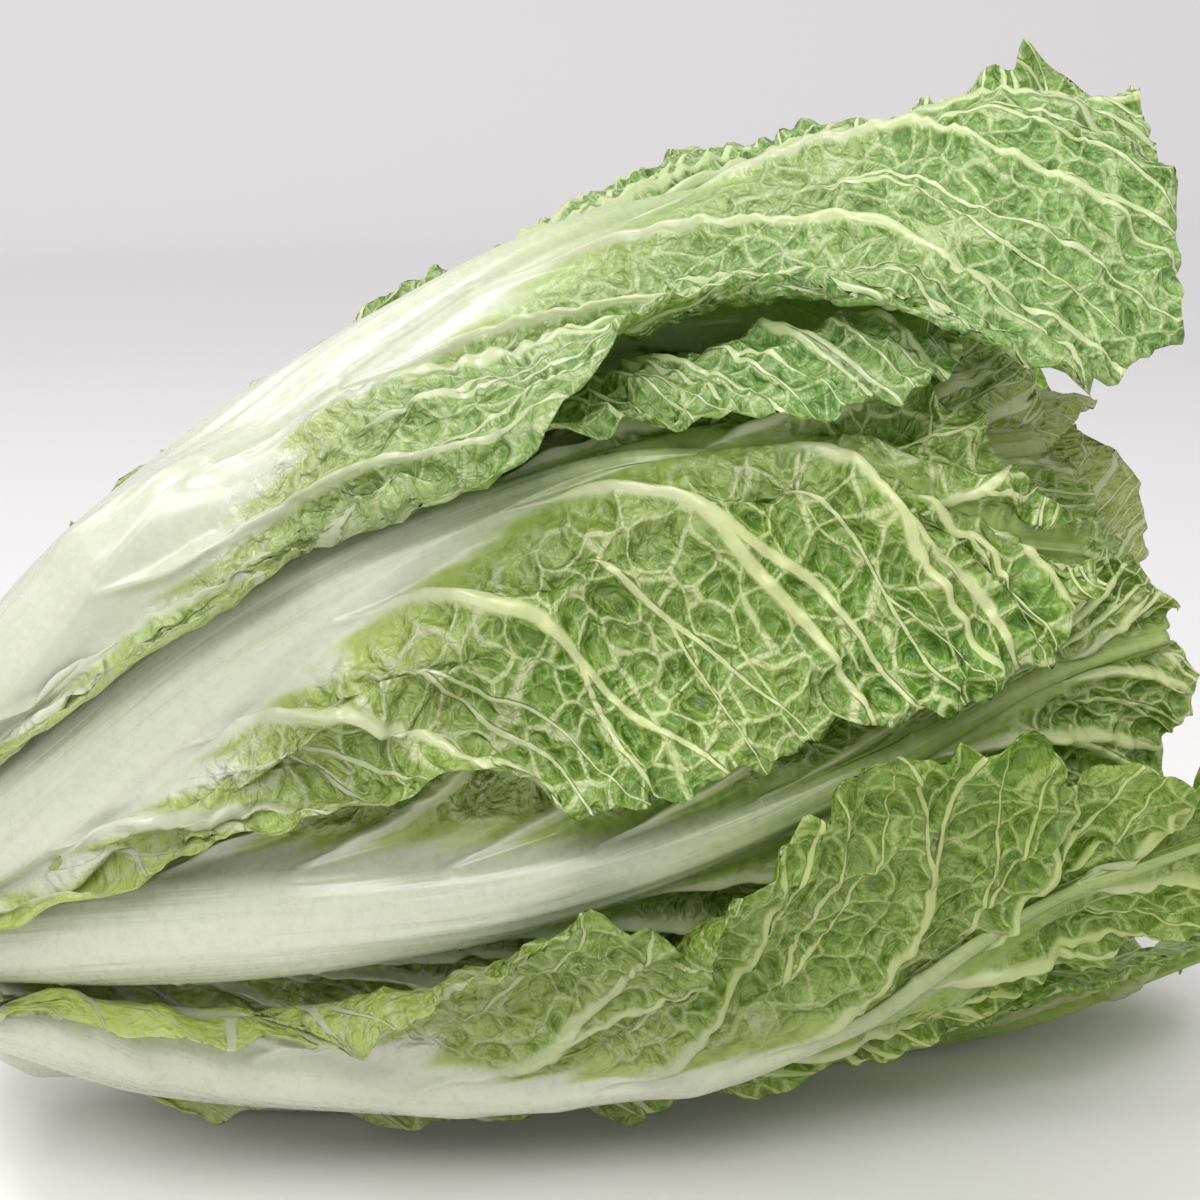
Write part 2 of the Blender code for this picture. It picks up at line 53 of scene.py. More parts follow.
LOG = logging.getLogger("napa_cabbage")
DEGREE_WIDTH = 0.0015  # metres that stand for a degree of turn where patterns mix it with distance
MARGIN_END = 0.965  # share of each margin that the rows reach, short of the very tip
SPINE_LAG = 1.15  # above 1, rows leave the rib further back than they reach the margin
ROW_CROWDING = 1.3  # above 1, rows lie closer near the stem
BOW = 0.9  # how far side veins bow towards the tip
CREST = 0.22  # how far the wave's crests lie behind the side veins
PLEAT_SKEW = 0.7  # below 1, a pleat is deepest near the vein behind it
FORK_BEND = 0.35  # how far a side vein turns from its fork, as a share of the fork's own turn

WIDE_RIB = (
    (0.0, 0.0095), (0.03, 0.0155), (0.06, 0.0160), (0.10, 0.0115), (0.15, 0.0055), (0.20, 0.0028),
    (0.28, 0.0012),
)
SWEPT = (
    (0.0, 0.0), (0.10, 0.24), (0.20, 0.40), (0.40, 0.60), (0.55, 0.76), (0.70, 0.88), (0.85, 0.96),
    (1.0, 1.0),
)
UPRIGHT = ((0.0, 0.0), (0.10, 0.16), (0.30, 0.42), (0.60, 0.72), (0.80, 0.88), (1.0, 1.0))
MID_RIB = ((0.0, 0.0070), (0.05, 0.0120), (0.10, 0.0095), (0.15, 0.0055), (0.25, 0.0018))
SLIM_RIB = ((0.0, 0.0060), (0.05, 0.0090), (0.10, 0.0065), (0.20, 0.0018))
MID_DEPTH = ((0.0, 0.0042), (0.05, 0.0048), (0.10, 0.0040), (0.20, 0.0022), (0.25, 0.0015))
SLIM_DEPTH = ((0.0, 0.0032), (0.05, 0.0036), (0.10, 0.0028), (0.20, 0.0015))
WIDE_DEPTH = (
    (0.0, 0.0075), (0.05, 0.0072), (0.10, 0.0060), (0.15, 0.0044), (0.20, 0.0034), (0.28, 0.0020),
)
LEAF_SHAPE = (
    (0.0, 0.15), (0.12, 0.26), (0.25, 0.42), (0.40, 0.68), (0.55, 0.90), (0.70, 1.0),
    (0.85, 0.88), (0.94, 0.56), (1.0, 0.0),
)


def linear(code: str) -> tuple[float, float, float, float]:
    """Turns an sRGB hex colour to linear.

    Args:
        code: The colour, such as "#8DB04F".

    Returns:
        Red, green, blue and an alpha of 1.
    """
    parts = [int(code[k : k + 2], 16) / 255 for k in (1, 3, 5)]
    red, green, blue = (c / 12.92 if c <= 0.04045 else ((c + 0.055) / 1.055) ** 2.4 for c in parts)
    return red, green, blue, 1.0


def add_node(
    tree: bpy.types.NodeTree, kind: str, inputs: dict | None = None, **settings: object
) -> bpy.types.Node:
    """Adds a node to a tree, with its settings, values and links.

    Args:
        tree: The node tree.
        kind: The node's type.
        inputs: For each input, by name or number, a value or the socket that feeds it.
        settings: Properties of the node.

    Returns:
        The new node.
    """
    node = tree.nodes.new(kind)
    for key, value in settings.items():
        setattr(node, key, value)
    for key, value in (inputs or {}).items():
        if isinstance(value, bpy.types.NodeSocket):
            tree.links.new(value, node.inputs[key])
        else:
            node.inputs[key].default_value = value
    return node


def curve(points: Points | Array, x: Array) -> Array:
    """Reads a smooth curve through (x, y) points.

    Args:
        points: The points, in the order of x.
        x: Where to read it.

    Returns:
        The values at x.
    """
    at, value = np.array(points).T
    slope = np.gradient(value, at)
    x = np.clip(x, at[0], at[-1])
    i = np.clip(np.searchsorted(at, x) - 1, 0, len(at) - 2)
    step = at[i + 1] - at[i]
    t = (x - at[i]) / step
    ends = value[i] * (1 - t) ** 2 * (1 + 2 * t) + value[i + 1] * t**2 * (3 - 2 * t)
    return ends + step * t * (1 - t) * (slope[i] * (1 - t) - slope[i + 1] * t)


def along(points: Points, t: Array) -> Array:
    """Reads a path in head coordinates.

    Args:
        points: (distance, turn, radius) points of the path.
        t: Shares of its length.

    Returns:
        A row of distance, turn and radius for each share.
    """
    path = np.array(points)
    steps = np.diff(path, axis=0) * (1.0, DEGREE_WIDTH, 1.0)
    at = np.concatenate([[0.0], np.cumsum(np.linalg.norm(steps, axis=1))])
    return np.stack([curve(np.stack([at / at[-1], column], 1), t) for column in path.T], -1)


def smooth_step(x: Array, low: float, high: float) -> Array:
    """Rises smoothly from 0 at low to 1 at high."""
    t = np.clip((x - low) / (high - low), 0, 1)
    return t * t * (3 - 2 * t)


def ripple(x: Array, y: Array, size: float, seed: int) -> Array:
    """Sums a few waves that run in seeded directions.

    Args:
        x: First coordinate, in metres.
        y: Second coordinate, in metres.
        size: Length of the middle wave, in metres.
        seed: Seed of the directions and phases.

    Returns:
        Values of about -1 to 1.
    """
    rng = np.random.default_rng(seed)
    total = np.zeros(np.broadcast(x, y).shape)
    for share in (0.6, 0.8, 1.0, 1.35, 1.8):
        angle, phase = rng.uniform(0, 2 * math.pi, 2)
        run = x * math.cos(angle) + y * math.sin(angle)
        total = total + np.sin(2 * math.pi * run / (size * share) + phase)
    return total / 2.6


def blurred(field: Array, rounds: int) -> Array:
    """Blurs a field over its neighbours, a number of times."""
    for _ in range(rounds):
        pad = np.pad(field, 1, mode="edge")
        field = (pad[:-2, 1:-1] + 2 * field + pad[2:, 1:-1]) / 4
        pad = np.pad(field, 1, mode="edge")
        field = (pad[1:-1, :-2] + 2 * field + pad[1:-1, 2:]) / 4
    return field


class Tone(Enum):
    """Which leaves a finish is for."""

    TOP = "top"
    CENTRE = "centre"
    BOTTOM = "bottom"
    FAR = "far"
    MIDDLE = "middle"
    INNER = "inner"
    HEART = "heart"


class Detail(Enum):
    """Lattice of a leaf: rows for each side vein, columns on half the rib, columns on one blade, and the
    size, in cells, of the blocks that it is draped by."""

    CLOSE = (30, 16, 84, 4)
    COVERED = (22, 12, 64, 4)
    FAR = (12, 8, 34, 2)
    INNER = (8, 6, 20, 1)


@dataclass(frozen=True)
class Head:
    """The head's axis and outline, in metres."""

    tilt: float = math.radians(16.0)
    butt: tuple[float, float, float] = (-0.140, 0.0, 0.050)
    body_length: float = 0.300
    body: Points = (
        (-0.005, 0.020), (0.000, 0.027), (0.015, 0.042), (0.035, 0.055), (0.060, 0.067),
        (0.090, 0.078), (0.120, 0.086), (0.150, 0.090), (0.180, 0.090), (0.210, 0.087),
        (0.240, 0.080), (0.270, 0.068), (0.300, 0.048), (0.340, 0.020),
    )

    @property
    def axis(self) -> Array:
        """Direction from the cut end to the tips."""
        return np.array((math.cos(self.tilt), 0.0, math.sin(self.tilt)))

    @property
    def front(self) -> Array:
        """Direction of turn 0."""
        return np.array((0.0, -1.0, 0.0))

    @property
    def top(self) -> Array:
        """Direction of turn 90."""
        return np.array((-math.sin(self.tilt), 0.0, math.cos(self.tilt)))

    def place(self, s: Array, turn: Array, radius: Array) -> Array:
        """Turns head coordinates to world points."""
        angle = np.radians(turn)
        outward = np.cos(angle)[..., None] * self.front + np.sin(angle)[..., None] * self.top
        return np.array(self.butt) + s[..., None] * self.axis + radius[..., None] * outward

    def coordinates(self, points: Array) -> tuple[Array, Array, Array]:
        """Turns world points to distance, turn and radius."""
        offset = points - np.array(self.butt)
        front, top = offset @ self.front, offset @ self.top
        return offset @ self.axis, np.degrees(np.arctan2(top, front)), np.hypot(front, top)

    def floor_radius(self, s: Array, turn: Array, height: float) -> Array:
        """Radius at which a point would be at this height above the surface the head lies on."""
        down = -np.sin(np.radians(turn)) * math.cos(self.tilt)
        room = (self.butt[2] + s * math.sin(self.tilt) - height) / np.maximum(down, 0.05)
        return np.where(down > 0.05, room, 1.0)

    def ring_radius(self, s: Array, start: float, share: float) -> Array:
        """Radius of a layer that leaves the stem at start and keeps a share of the outline."""
        return share * curve(self.body, (s - start) * self.body_length / (self.body_length - start))

    def on_body(self, lift: float, *points: tuple[float, float]) -> Points:
        """Lays (distance, turn) pairs over the closed head at a lift."""
        return tuple((s, turn, float(curve(self.body, np.array(s))) + lift) for s, turn in points)


@dataclass
class LeafForm:
    """Curves and sizes of one leaf; upper is the margin at the greater turn."""

    name: str
    spine: Points
    upper: Points
    lower: Points
    rib: Points = WIDE_RIB  # half the rib's width, over the distance from its base
    depth: Points = WIDE_DEPTH  # the rib's thickness, over the same
    wave: tuple[float, float] = (0.003, 0.003)  # how far the upper and the lower margin wave
    belly: Points = ((0.0, 0.0), (1.0, 0.0))  # how far the lower blade swells, over the rows
    floor: float = 0.0  # least height above the surface
    lead: Points = SWEPT  # share of the margins' length that each row reaches
    whiteness: float = 1.0  # how far the white of the rib spreads into the blade
    veins: int = 9  # strong side veins on each side
    seed: int = 1
    ruffle: float = 0.0016
    relief: float = 1.0  # share of the full height of veins, pleats and net
    pleat: float = 2.8  # depth of the pleats between strong veins, in millimetres
    tone: Tone = Tone.FAR
    detail: Detail = Detail.CLOSE
    slot: str = "outer_green"


@dataclass
class Shell:
    """World points of a leaf's outer and inner face, and the fields its finish reads."""

    outer: Array
    inner: Array
    fields: dict[str, Array]


class Envelope:
    """Outer surface of everything placed so far: a radius for each distance and turn."""

    first = -0.015  # distance of the first cell
    cell = 0.0015  # length of a cell along the axis
    turn_cell = 1.5  # degrees that a cell spans
    count = (250, 240)  # cells along the axis and round it
    sheet_rounds = 10  # rounds of blurring that make a rise smooth, like a sheet

    def __init__(self, head: Head) -> None:
        """Starts with nothing placed."""
        self.head = head
        self.radius = np.zeros(self.count)

    def cells(self, s: Array, turn: Array) -> tuple[Array, Array]:
        """Finds the cell of each distance and turn."""
        i = np.clip(np.round((s - self.first) / self.cell).astype(int), 0, self.radius.shape[0] - 1)
        return i, np.round(turn / self.turn_cell).astype(int) % self.radius.shape[1]

    def cover(self, points: Array, finer: int = 1) -> None:
        """Raises the surface to a lattice of world points, made finer by a whole number of times."""
        for axis in (0, 1):
            count = points.shape[axis]
            at = np.linspace(0, count - 1, (count - 1) * finer + 1)
            low = np.minimum(at.astype(int), count - 2)
            share = (at - low).reshape([-1 if k == axis else 1 for k in range(3)])
            points = points.take(low, axis) * (1 - share) + points.take(low + 1, axis) * share
        s, turn, radius = self.head.coordinates(points)
        np.maximum.at(self.radius, self.cells(s, turn), radius)

    def grown(self) -> Array:
        """Gives the surface with each cell raised to its highest neighbour."""
        pad = np.pad(self.radius, ((1, 1), (0, 0)), mode="edge")
        tall = np.maximum(np.maximum(pad[:-2], pad[1:-1]), pad[2:])
        return np.maximum(np.maximum(np.roll(tall, 1, 1), tall), np.roll(tall, -1, 1))

    def lift(self, s: Array, turn: Array, radius: Array, gap: Array, block: int) -> Array:
        """Works out how far a leaf rises to drape over what is under it.

        Args:
            s: Distances of the leaf's lattice.
            turn: Turns of the lattice.
            radius: Radii of the lattice.
            gap: Least gap to keep at each point.
            block: Size, in cells, of the blocks that the rise is worked out for.

        Returns:
            The rise of each lattice point, smooth like a sheet laid over steps.
        """
        need = np.maximum(self.grown()[self.cells(s, turn)] + gap - radius, 0)
        rows, columns = (n // block + 2 for n in need.shape)
        wide = np.zeros((rows * block, columns * block))
        wide[: need.shape[0], : need.shape[1]] = need
        coarse = wide.reshape(rows, block, columns, block).max(axis=(1, 3))
        rise = coarse
        for _ in range(self.sheet_rounds):
            rise = np.maximum(coarse, blurred(rise, 1))
        row = np.clip((np.arange(need.shape[0]) - 1.5) / block, 0, rows - 1.001)
        column = np.clip((np.arange(need.shape[1]) - 1.5) / block, 0, columns - 1.001)
        i, j = row.astype(int), column.astype(int)
        p, q = (row - i)[:, None], (column - j)[None]
        near = rise[i][:, j] * (1 - q) + rise[i][:, j + 1] * q
        far = rise[i + 1][:, j] * (1 - q) + rise[i + 1][:, j + 1] * q
        return blurred(near * (1 - p) + far * p, 3)


class LeafShape:
    """Shapes one leaf as a closed shell on a fine lattice."""

    blade = 0.0011  # thickness of the green blade
    thinning = 0.0006  # how much thinner it is at the margin
    gap = 0.0008  # least gap to the leaves underneath
    least_radius = 0.025  # radius that a degree of turn is measured at, nearer the axis than this
    narrowest = 0.003  # least width of a blade beside its rib
    base_drop = 0.007  # how far the margins sink at the stem
    base_drop_length = 0.085  # distance over which they come up again
    ragged, ragged_size = 0.035, 0.009  # how unevenly the margin is cut, as a share, and over what length
    crumples = ((0.0008, 0.017, 3), (0.0004, 0.008, 5))  # height, length and seed
    groove, groove_size = 0.00022, 0.005  # height and width of the grooves along a rib
    vein_wander, vein_wander_size = 0.16, 0.045  # how far side veins wander, in spacings, and over what length
    minor_strength, minor_start = 0.45, 0.22  # of every other side vein
    fork_place, fork_spread, fork_turn = 0.42, 0.22, 0.45  # where side veins fork, and how far, in spacings
    white_reach = ((0.0, 0.80), (0.15, 0.62), (0.30, 0.30), (0.45, 0.10), (0.60, 0.03), (1.0, 0.0))

    def __init__(self, head: Head, form: LeafForm) -> None:
        """Keeps the head and the leaf's form, and lays out its lattice."""
        self.head, self.form = head, form
        per_vein, on_rib, on_blade, self.block = form.detail.value
        rows = form.veins * per_vein
        self.row = np.linspace(0, 1, rows + rows % 2 + 1) ** ROW_CROWDING
        half = np.append(np.linspace(0, 1, on_rib + 1)[1:], 1 + np.linspace(0, 1, on_blade + 1)[1:])
        self.mark = np.concatenate([-half[::-1], [0.0], half])
        self.side = np.sign(self.mark)
        self.rib = np.clip(np.abs(self.mark), 0, 1)
        self.out = np.clip(np.abs(self.mark) - 1, 0, 1)

    def design(self) -> tuple[Array, Array, Array, Array, Array]:
        """Lays the lattice between the midrib and the margins.

        Returns:
            Distance, turn and inner radius of each point, and the rib's half width and thickness.
        """
        form, out, side = self.form, self.out, self.side
        share = self.row**SPINE_LAG
        mid = along(form.spine, share)
        before, after = np.maximum(share - 0.01, 0), np.minimum(share + 0.01, 1)
        ahead = along(form.spine, after) - along(form.spine, before)
        degree = np.radians(1.0) * np.maximum(mid[:, 2], self.least_radius)
        heading = np.stack([ahead[:, 0], ahead[:, 1] * degree], -1)
        heading /= np.linalg.norm(heading, axis=1, keepdims=True)
        half = curve(form.rib, mid[:, 0] - form.spine[0][0])
        depth = curve(form.depth, mid[:, 0] - form.spine[0][0])
        s = mid[:, :1] - heading[:, 1:] * half[:, None] * side * self.rib
        turn = mid[:, 1:2] + (heading[:, 0] * half / degree)[:, None] * side * self.rib
        inner = np.repeat((mid[:, 2] - depth)[:, None], len(self.mark), 1)
        for sign, margin in ((1, form.upper), (-1, form.lower)):
            edge = along(margin, MARGIN_END * curve(form.lead, self.row))
            base = np.clip(1 - (edge[:, 0] - form.spine[0][0]) / self.base_drop_length, 0, 1)
            edge[:, 2] -= self.base_drop * base
            y = edge[:, 1] * DEGREE_WIDTH
            ragged = 1 + self.ragged * ripple(edge[:, 0], y, self.ragged_size, form.seed + 50)
            reach_s = edge[:, 0] - (mid[:, 0] - sign * half * heading[:, 1])
            reach_turn = edge[:, 1] - (mid[:, 1] + sign * half * heading[:, 0] / degree)
            reach_turn = sign * np.maximum(sign * reach_turn, self.narrowest / degree) * ragged
            share = np.where(side == sign, out, 0.0)
            bow = BOW * np.hypot(reach_s, reach_turn * degree)[:, None] * (share**0.5 - share)
            s = s + reach_s[:, None] * share + bow
            turn = turn + reach_turn[:, None] * share
            inner = inner + (edge[:, 2] - self.blade - mid[:, 2] + depth)[:, None] * share
        bulge = np.where(side < 0, np.sin(np.pi * out**0.8), 0.0)
        inner = inner + curve(form.belly, self.row)[:, None] * bulge
        return s, turn, inner, half, depth

    def waves(self, s: Array, turn: Array) -> Array:
        """Works out how far the margins rise in waves and ruffles.

        Args:
            s: Distances of the lattice.
            turn: Turns of the lattice.

        Returns:
            The rise of each point, in metres.
        """
        form = self.form
        knots = np.add.outer(np.arange(form.veins), (0.0, CREST, 2 * CREST)).ravel() / form.veins
        knots = np.append(knots, 1.0)
        rise = np.random.default_rng(form.seed).uniform(0.35, 1.0, (2, len(knots)))
        rise[:, 1::3] *= 0.10
        rise = rise * (0.6 + 0.9 * knots**3)
        up, down = (curve(np.stack([knots, side], 1), self.row)[:, None] for side in rise)
        slow = np.where(self.side > 0, form.wave[0] * up, form.wave[1] * down) * self.out**1.6
        y = turn * DEGREE_WIDTH
        fine = 1 + ripple(s, y, 0.014, form.seed + 7) * (1 + 0.5 * ripple(s, y, 0.05, form.seed + 8))
        crumple = 1 + ripple(s, y, 0.0065, form.seed + 9)
        return slow + form.ruffle * (fine * self.out**4 + 0.5 * crumple * self.out**10)

    def veins(self, spacing: Array, half: Array, s: Array, turn: Array) -> dict[str, Array]:
        """Works out where the side veins run.

        Args:
            spacing: Distance between side veins at each point, in millimetres.
            half: Half width of the rib at each row.
            s: Distances of the lattice.
            turn: Turns of the lattice.

        Returns:
            Fields on the lattice: the count of side veins up to each row, the place of their forks,
            their half width in millimetres, and the height of their ridges in metres.
        """
        form, out = self.form, self.out
        count = 2 * form.veins * self.row[:, None] - CREST * 2
        wander = ripple(s, turn * DEGREE_WIDTH, self.vein_wander_size, form.seed + 21)
        count = count + self.vein_wander * wander * smooth_step(out, 0.0, 0.3)
        nearest = np.round(count)
        offset = count - nearest
        strong = np.where(nearest % 2 == 0, 1.0, self.minor_strength)
        begin = np.where(nearest % 2 == 0, 0.0, self.minor_start)
        fork_at = self.fork_place + self.fork_spread * np.sin(2.4 * nearest + form.seed + self.side)
        way = np.where(np.mod(nearest, 4) < 2, 1.0, -1.0)
        fork = self.fork_turn * way * np.clip((out - fork_at) / (1 - fork_at), 0, 1) ** 0.8
        width = (0.42 + 1.15 * (1 - out)) * strong * (0.45 + 0.55 * form.relief)
        width = np.minimum(np.minimum(width, 0.24 * spacing), 0.3 + 550 * half[:, None])
        width = width * smooth_step(out - begin, -0.02, 0.06) * smooth_step(self.rib, 0.75, 1.0)
        height = np.minimum((1.5 + 1.6 * (1 - out)) * strong * form.relief, 0.7 * spacing)
        height = height * smooth_step(self.rib, 0.7, 1.0) * smooth_step(1 - out, 0.0, 0.05)
        nearness = np.minimum(np.abs(offset + FORK_BEND * fork), 1.3 * np.abs(offset - fork)) * spacing
        ridge = height * np.exp(-((nearness / (0.35 + width)) ** 2)) * smooth_step(out - begin, -0.02, 0.06)
        pleat = form.pleat * np.sin(np.pi * np.mod(count / 2, 1) ** PLEAT_SKEW) ** 1.5
        deepest = form.relief * np.clip(spacing / 7, 0, 1.3)
        deepest = deepest * smooth_step(out, 0.0, 0.25) * (1 - 0.6 * out**3)
        sag = deepest * (pleat + 0.5 * np.sin(np.pi * offset) ** 2)
        return {
            "vein_count": count,
            "fork": fork,
            "vein_width": width,
            "ridge": 0.001 * ridge,
            "sag": 0.001 * sag,
            "deepest": 0.001 * deepest * (form.pleat + 0.5),
        }

    def vein_spacing(self, laid: Array) -> Array:
        """Measures how far apart the side veins run.

        Args:
            laid: World points of the lattice.

        Returns:
            The distance between side veins at each point, in millimetres.
        """
        over_rows, over_marks = np.gradient(laid, self.row, axis=0), np.gradient(laid, self.mark, axis=1)
        width = np.linalg.norm(over_marks, axis=-1)
        across_veins = np.linalg.norm(np.cross(over_rows, over_marks), axis=-1) / np.maximum(width, 1e-6)
        return blurred(1000 * across_veins / (2 * self.form.veins), 3)

    @staticmethod
    def outward(face: Array) -> Array:
        """Works out smoothed normals.

        Args:
            face: World points of a face.

        Returns:
            The direction out of the face at each point.
        """
        normal = np.cross(np.gradient(face, axis=0), np.gradient(face, axis=1))
        normal /= np.linalg.norm(normal, axis=-1, keepdims=True) + 1e-12
        normal = np.stack([blurred(normal[..., k], 2) for k in range(3)], -1)
        normal /= np.linalg.norm(normal, axis=-1, keepdims=True) + 1e-12
        return normal

    def colour_fields(self, s: Array, y: Array, valley: Array) -> dict[str, Array]:
        """Works out where the leaf is green, where it is white and where the net shows.

        Args:
            s: Distances of the lattice.
            y: Turns of the lattice, in metres.
            valley: 0 on a side vein and 1 midway between two.

        Returns:
            Fields on the lattice.
        """
        form, out = self.form, self.out
        part = (s - form.spine[0][0]) / (form.spine[-1][0] - form.spine[0][0])
        base = smooth_step(part, 0.12, 0.70)
        green = base * (0.45 + 0.55 * smooth_step(out, 0.0, 0.4)) + 0.12 * ripple(s, y, 0.03, form.seed + 4)
        spread = form.whiteness * curve(self.white_reach, part)
        spread = spread * (1 + 0.25 * ripple(s, y, 0.02, form.seed + 6)) * (1 - 0.75 * valley)
        white = 1 - smooth_step(out, 0.45 * spread, 1.25 * spread + 0.02)
        white = white * (1 - 0.85 * smooth_step(part, 0.40, 0.80))
        net = smooth_step(out, 0.02, 0.14) * (0.35 + 0.65 * smooth_step(part, 0.05, 0.4)) * form.relief
        return {"green": np.clip(green, 0, 1), "white": np.clip(white, 0, 1), "net": net}

    def shell(self, envelope: Envelope) -> Shell:
        """Shapes the leaf over what is already placed.

        Args:
            envelope: Surface of the leaves under this one, which this one is then added to.

        Returns:
            The leaf's two faces and its fields.
        """
        form, out, head = self.form, self.out, self.head
        s, turn, inner, half, depth = self.design()
        inner = np.minimum(inner, head.floor_radius(s, turn, form.floor) - self.blade)
        y, across = turn * DEGREE_WIDTH, self.mark * half[:, None] + 0 * s
        spacing = self.vein_spacing(head.place(s, turn, inner))
        veins = self.veins(spacing, half, s, turn)
        crumple = sum(height * ripple(s, y, size, form.seed + k) for height, size, k in self.crumples)
        press = crumple * form.relief * smooth_step(out, 0.05, 0.3) - veins["sag"]
        gap = self.gap + veins["deepest"] + np.maximum(-crumple, 0)
        inner = inner + envelope.lift(s, turn, inner, gap, self.block)
        inner = np.minimum(inner + self.waves(s, turn), head.floor_radius(s, turn, 0.0) - self.blade)
        inner = blurred(inner, 1)
        crown = (1 - self.rib**2) ** 0.7
        grooves = self.groove * ripple(across, 0.06 * s, self.groove_size, form.seed + 31) * (self.rib < 1)
        thickness = self.blade - self.thinning * out**6
        outer = inner + thickness + (depth - self.blade)[:, None] * crown + grooves * crown
        low = max(form.floor - 0.004, 0.0)
        outer = np.minimum(outer, np.maximum(head.floor_radius(s, turn, low), inner + self.blade))
        face = head.place(s, turn, outer)
        normal = self.outward(face)
        top = face + (press + veins["ridge"])[..., None] * normal
        bottom = head.place(s, turn, inner) + press[..., None] * normal
        top[..., 2] = np.maximum(top[..., 2], 0.0)
        bottom[..., 2] = np.maximum(bottom[..., 2], 0.0004)
        envelope.cover(top, self.block)
        plane = np.stack([s, y, np.full_like(s, 0.01 * form.seed)], -1)
        for k, seed in ((0, 61), (1, 62)):
            plane[..., k] += 0.0012 * ripple(s, y, 0.014, form.seed + seed)
        fields = {key: veins[key] for key in ("vein_count", "fork", "vein_width")}
        fields |= self.colour_fields(s, y, np.sin(np.pi * veins["vein_count"]) ** 2)
        fields |= {"vein_spacing": spacing, "across": across, "leaf_plane": plane, "outward": normal}
        return Shell(top, bottom, fields)


class MeshMaker:
    """Makes closed meshes out of lattices."""

    @staticmethod
    def faces(rows: int, columns: int) -> tuple[Array, Array, Array]:
        """Lists the faces of a shell whose inner lattice has every other point of the outer one.

        Args:
            rows: Rows of the outer lattice, an odd number.
            columns: Columns of the outer lattice, an odd number.

        Returns:
            Quads of the outer face, quads of the inner face and triangles of the rim.
        """
        outer = np.arange(rows * columns).reshape(rows, columns)
        low_rows, low_columns = rows // 2 + 1, columns // 2 + 1
        inner = rows * columns + np.arange(low_rows * low_columns).reshape(low_rows, low_columns)
        quads = [
            np.stack([grid[:-1, :-1], grid[1:, :-1], grid[1:, 1:], grid[:-1, 1:]], -1).reshape(-1, 4)
            for grid in (outer, inner)
        ]
        loops = [
            np.concatenate([grid[:-1, 0], grid[-1, :-1], grid[:0:-1, -1], grid[0, :0:-1]])
            for grid in (outer, inner)
        ]
        first, second, third = loops[0][::2], loops[0][1::2], np.roll(loops[0], -2)[::2]
        start, end = loops[1], np.roll(loops[1], -1)
        corners = ((second, first, start), (second, start, end), (third, second, end))
        rim = np.concatenate([np.stack(triple, -1) for triple in corners])
        return quads[0], quads[1][:, ::-1], rim

    @classmethod
    def shell_mesh(cls, name: str, shell: Shell) -> bpy.types.Mesh:
        """Makes a leaf's mesh, with its fields as attributes.

        Args:
            name: Name of the mesh.
            shell: The leaf's faces and fields.

        Returns:
            The closed mesh.
        """
        rows, columns = shell.outer.shape[:2]
        outer, inner, rim = cls.faces(rows, columns)
        points = np.concatenate([shell.outer.reshape(-1, 3), shell.inner[::2, ::2].reshape(-1, 3)])
        mesh = cls.mesh(name, points, (outer, inner, rim))
        for key, field in shell.fields.items():
            wide = field.ndim == 3
            tail = (-1, 3) if wide else (-1,)
            values = np.concatenate([field.reshape(tail), field[::2, ::2].reshape(tail)])
            layer = mesh.attributes.new(key, "FLOAT_VECTOR" if wide else "FLOAT", "POINT")
            layer.data.foreach_set("vector" if wide else "value", values.astype(np.float32).ravel())
        return mesh

    @staticmethod
    def mesh(name: str, points: Array, groups: tuple[Array, ...]) -> bpy.types.Mesh:
        """Makes a smooth-shaded mesh.

        Args:
            name: Name of the mesh.
            points: World points.
            groups: Arrays of faces, one for each number of corners.

        Returns:
            The mesh.
        """
        mesh = bpy.data.meshes.new(name)
        corners = np.concatenate([group.ravel() for group in groups]).astype(np.int32)
        sizes = np.concatenate([np.full(len(group), group.shape[1]) for group in groups])
        starts = np.concatenate([[0], np.cumsum(sizes)[:-1]]).astype(np.int32)
        mesh.vertices.add(len(points))
        mesh.vertices.foreach_set("co", points.astype(np.float32).ravel())
        mesh.loops.add(len(corners))
        mesh.loops.foreach_set("vertex_index", corners)
        mesh.polygons.add(len(sizes))
        mesh.polygons.foreach_set("loop_start", starts)
        mesh.update(calc_edges=True)
        mesh.validate()
        mesh.shade_smooth()
        return mesh

    @staticmethod
    def piece(name: str, mesh: bpy.types.Mesh) -> bpy.types.Object:
        """Puts a mesh in the scene as an object at the origin."""
        obj = bpy.data.objects.new(name, mesh)
        bpy.context.collection.objects.link(obj)
        return obj

    @staticmethod
    def dress(obj: bpy.types.Object, node: str, slot: str) -> None:
        """Lets a piece stand for a node of the frame."""
        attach(obj, "root")
        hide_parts(node)


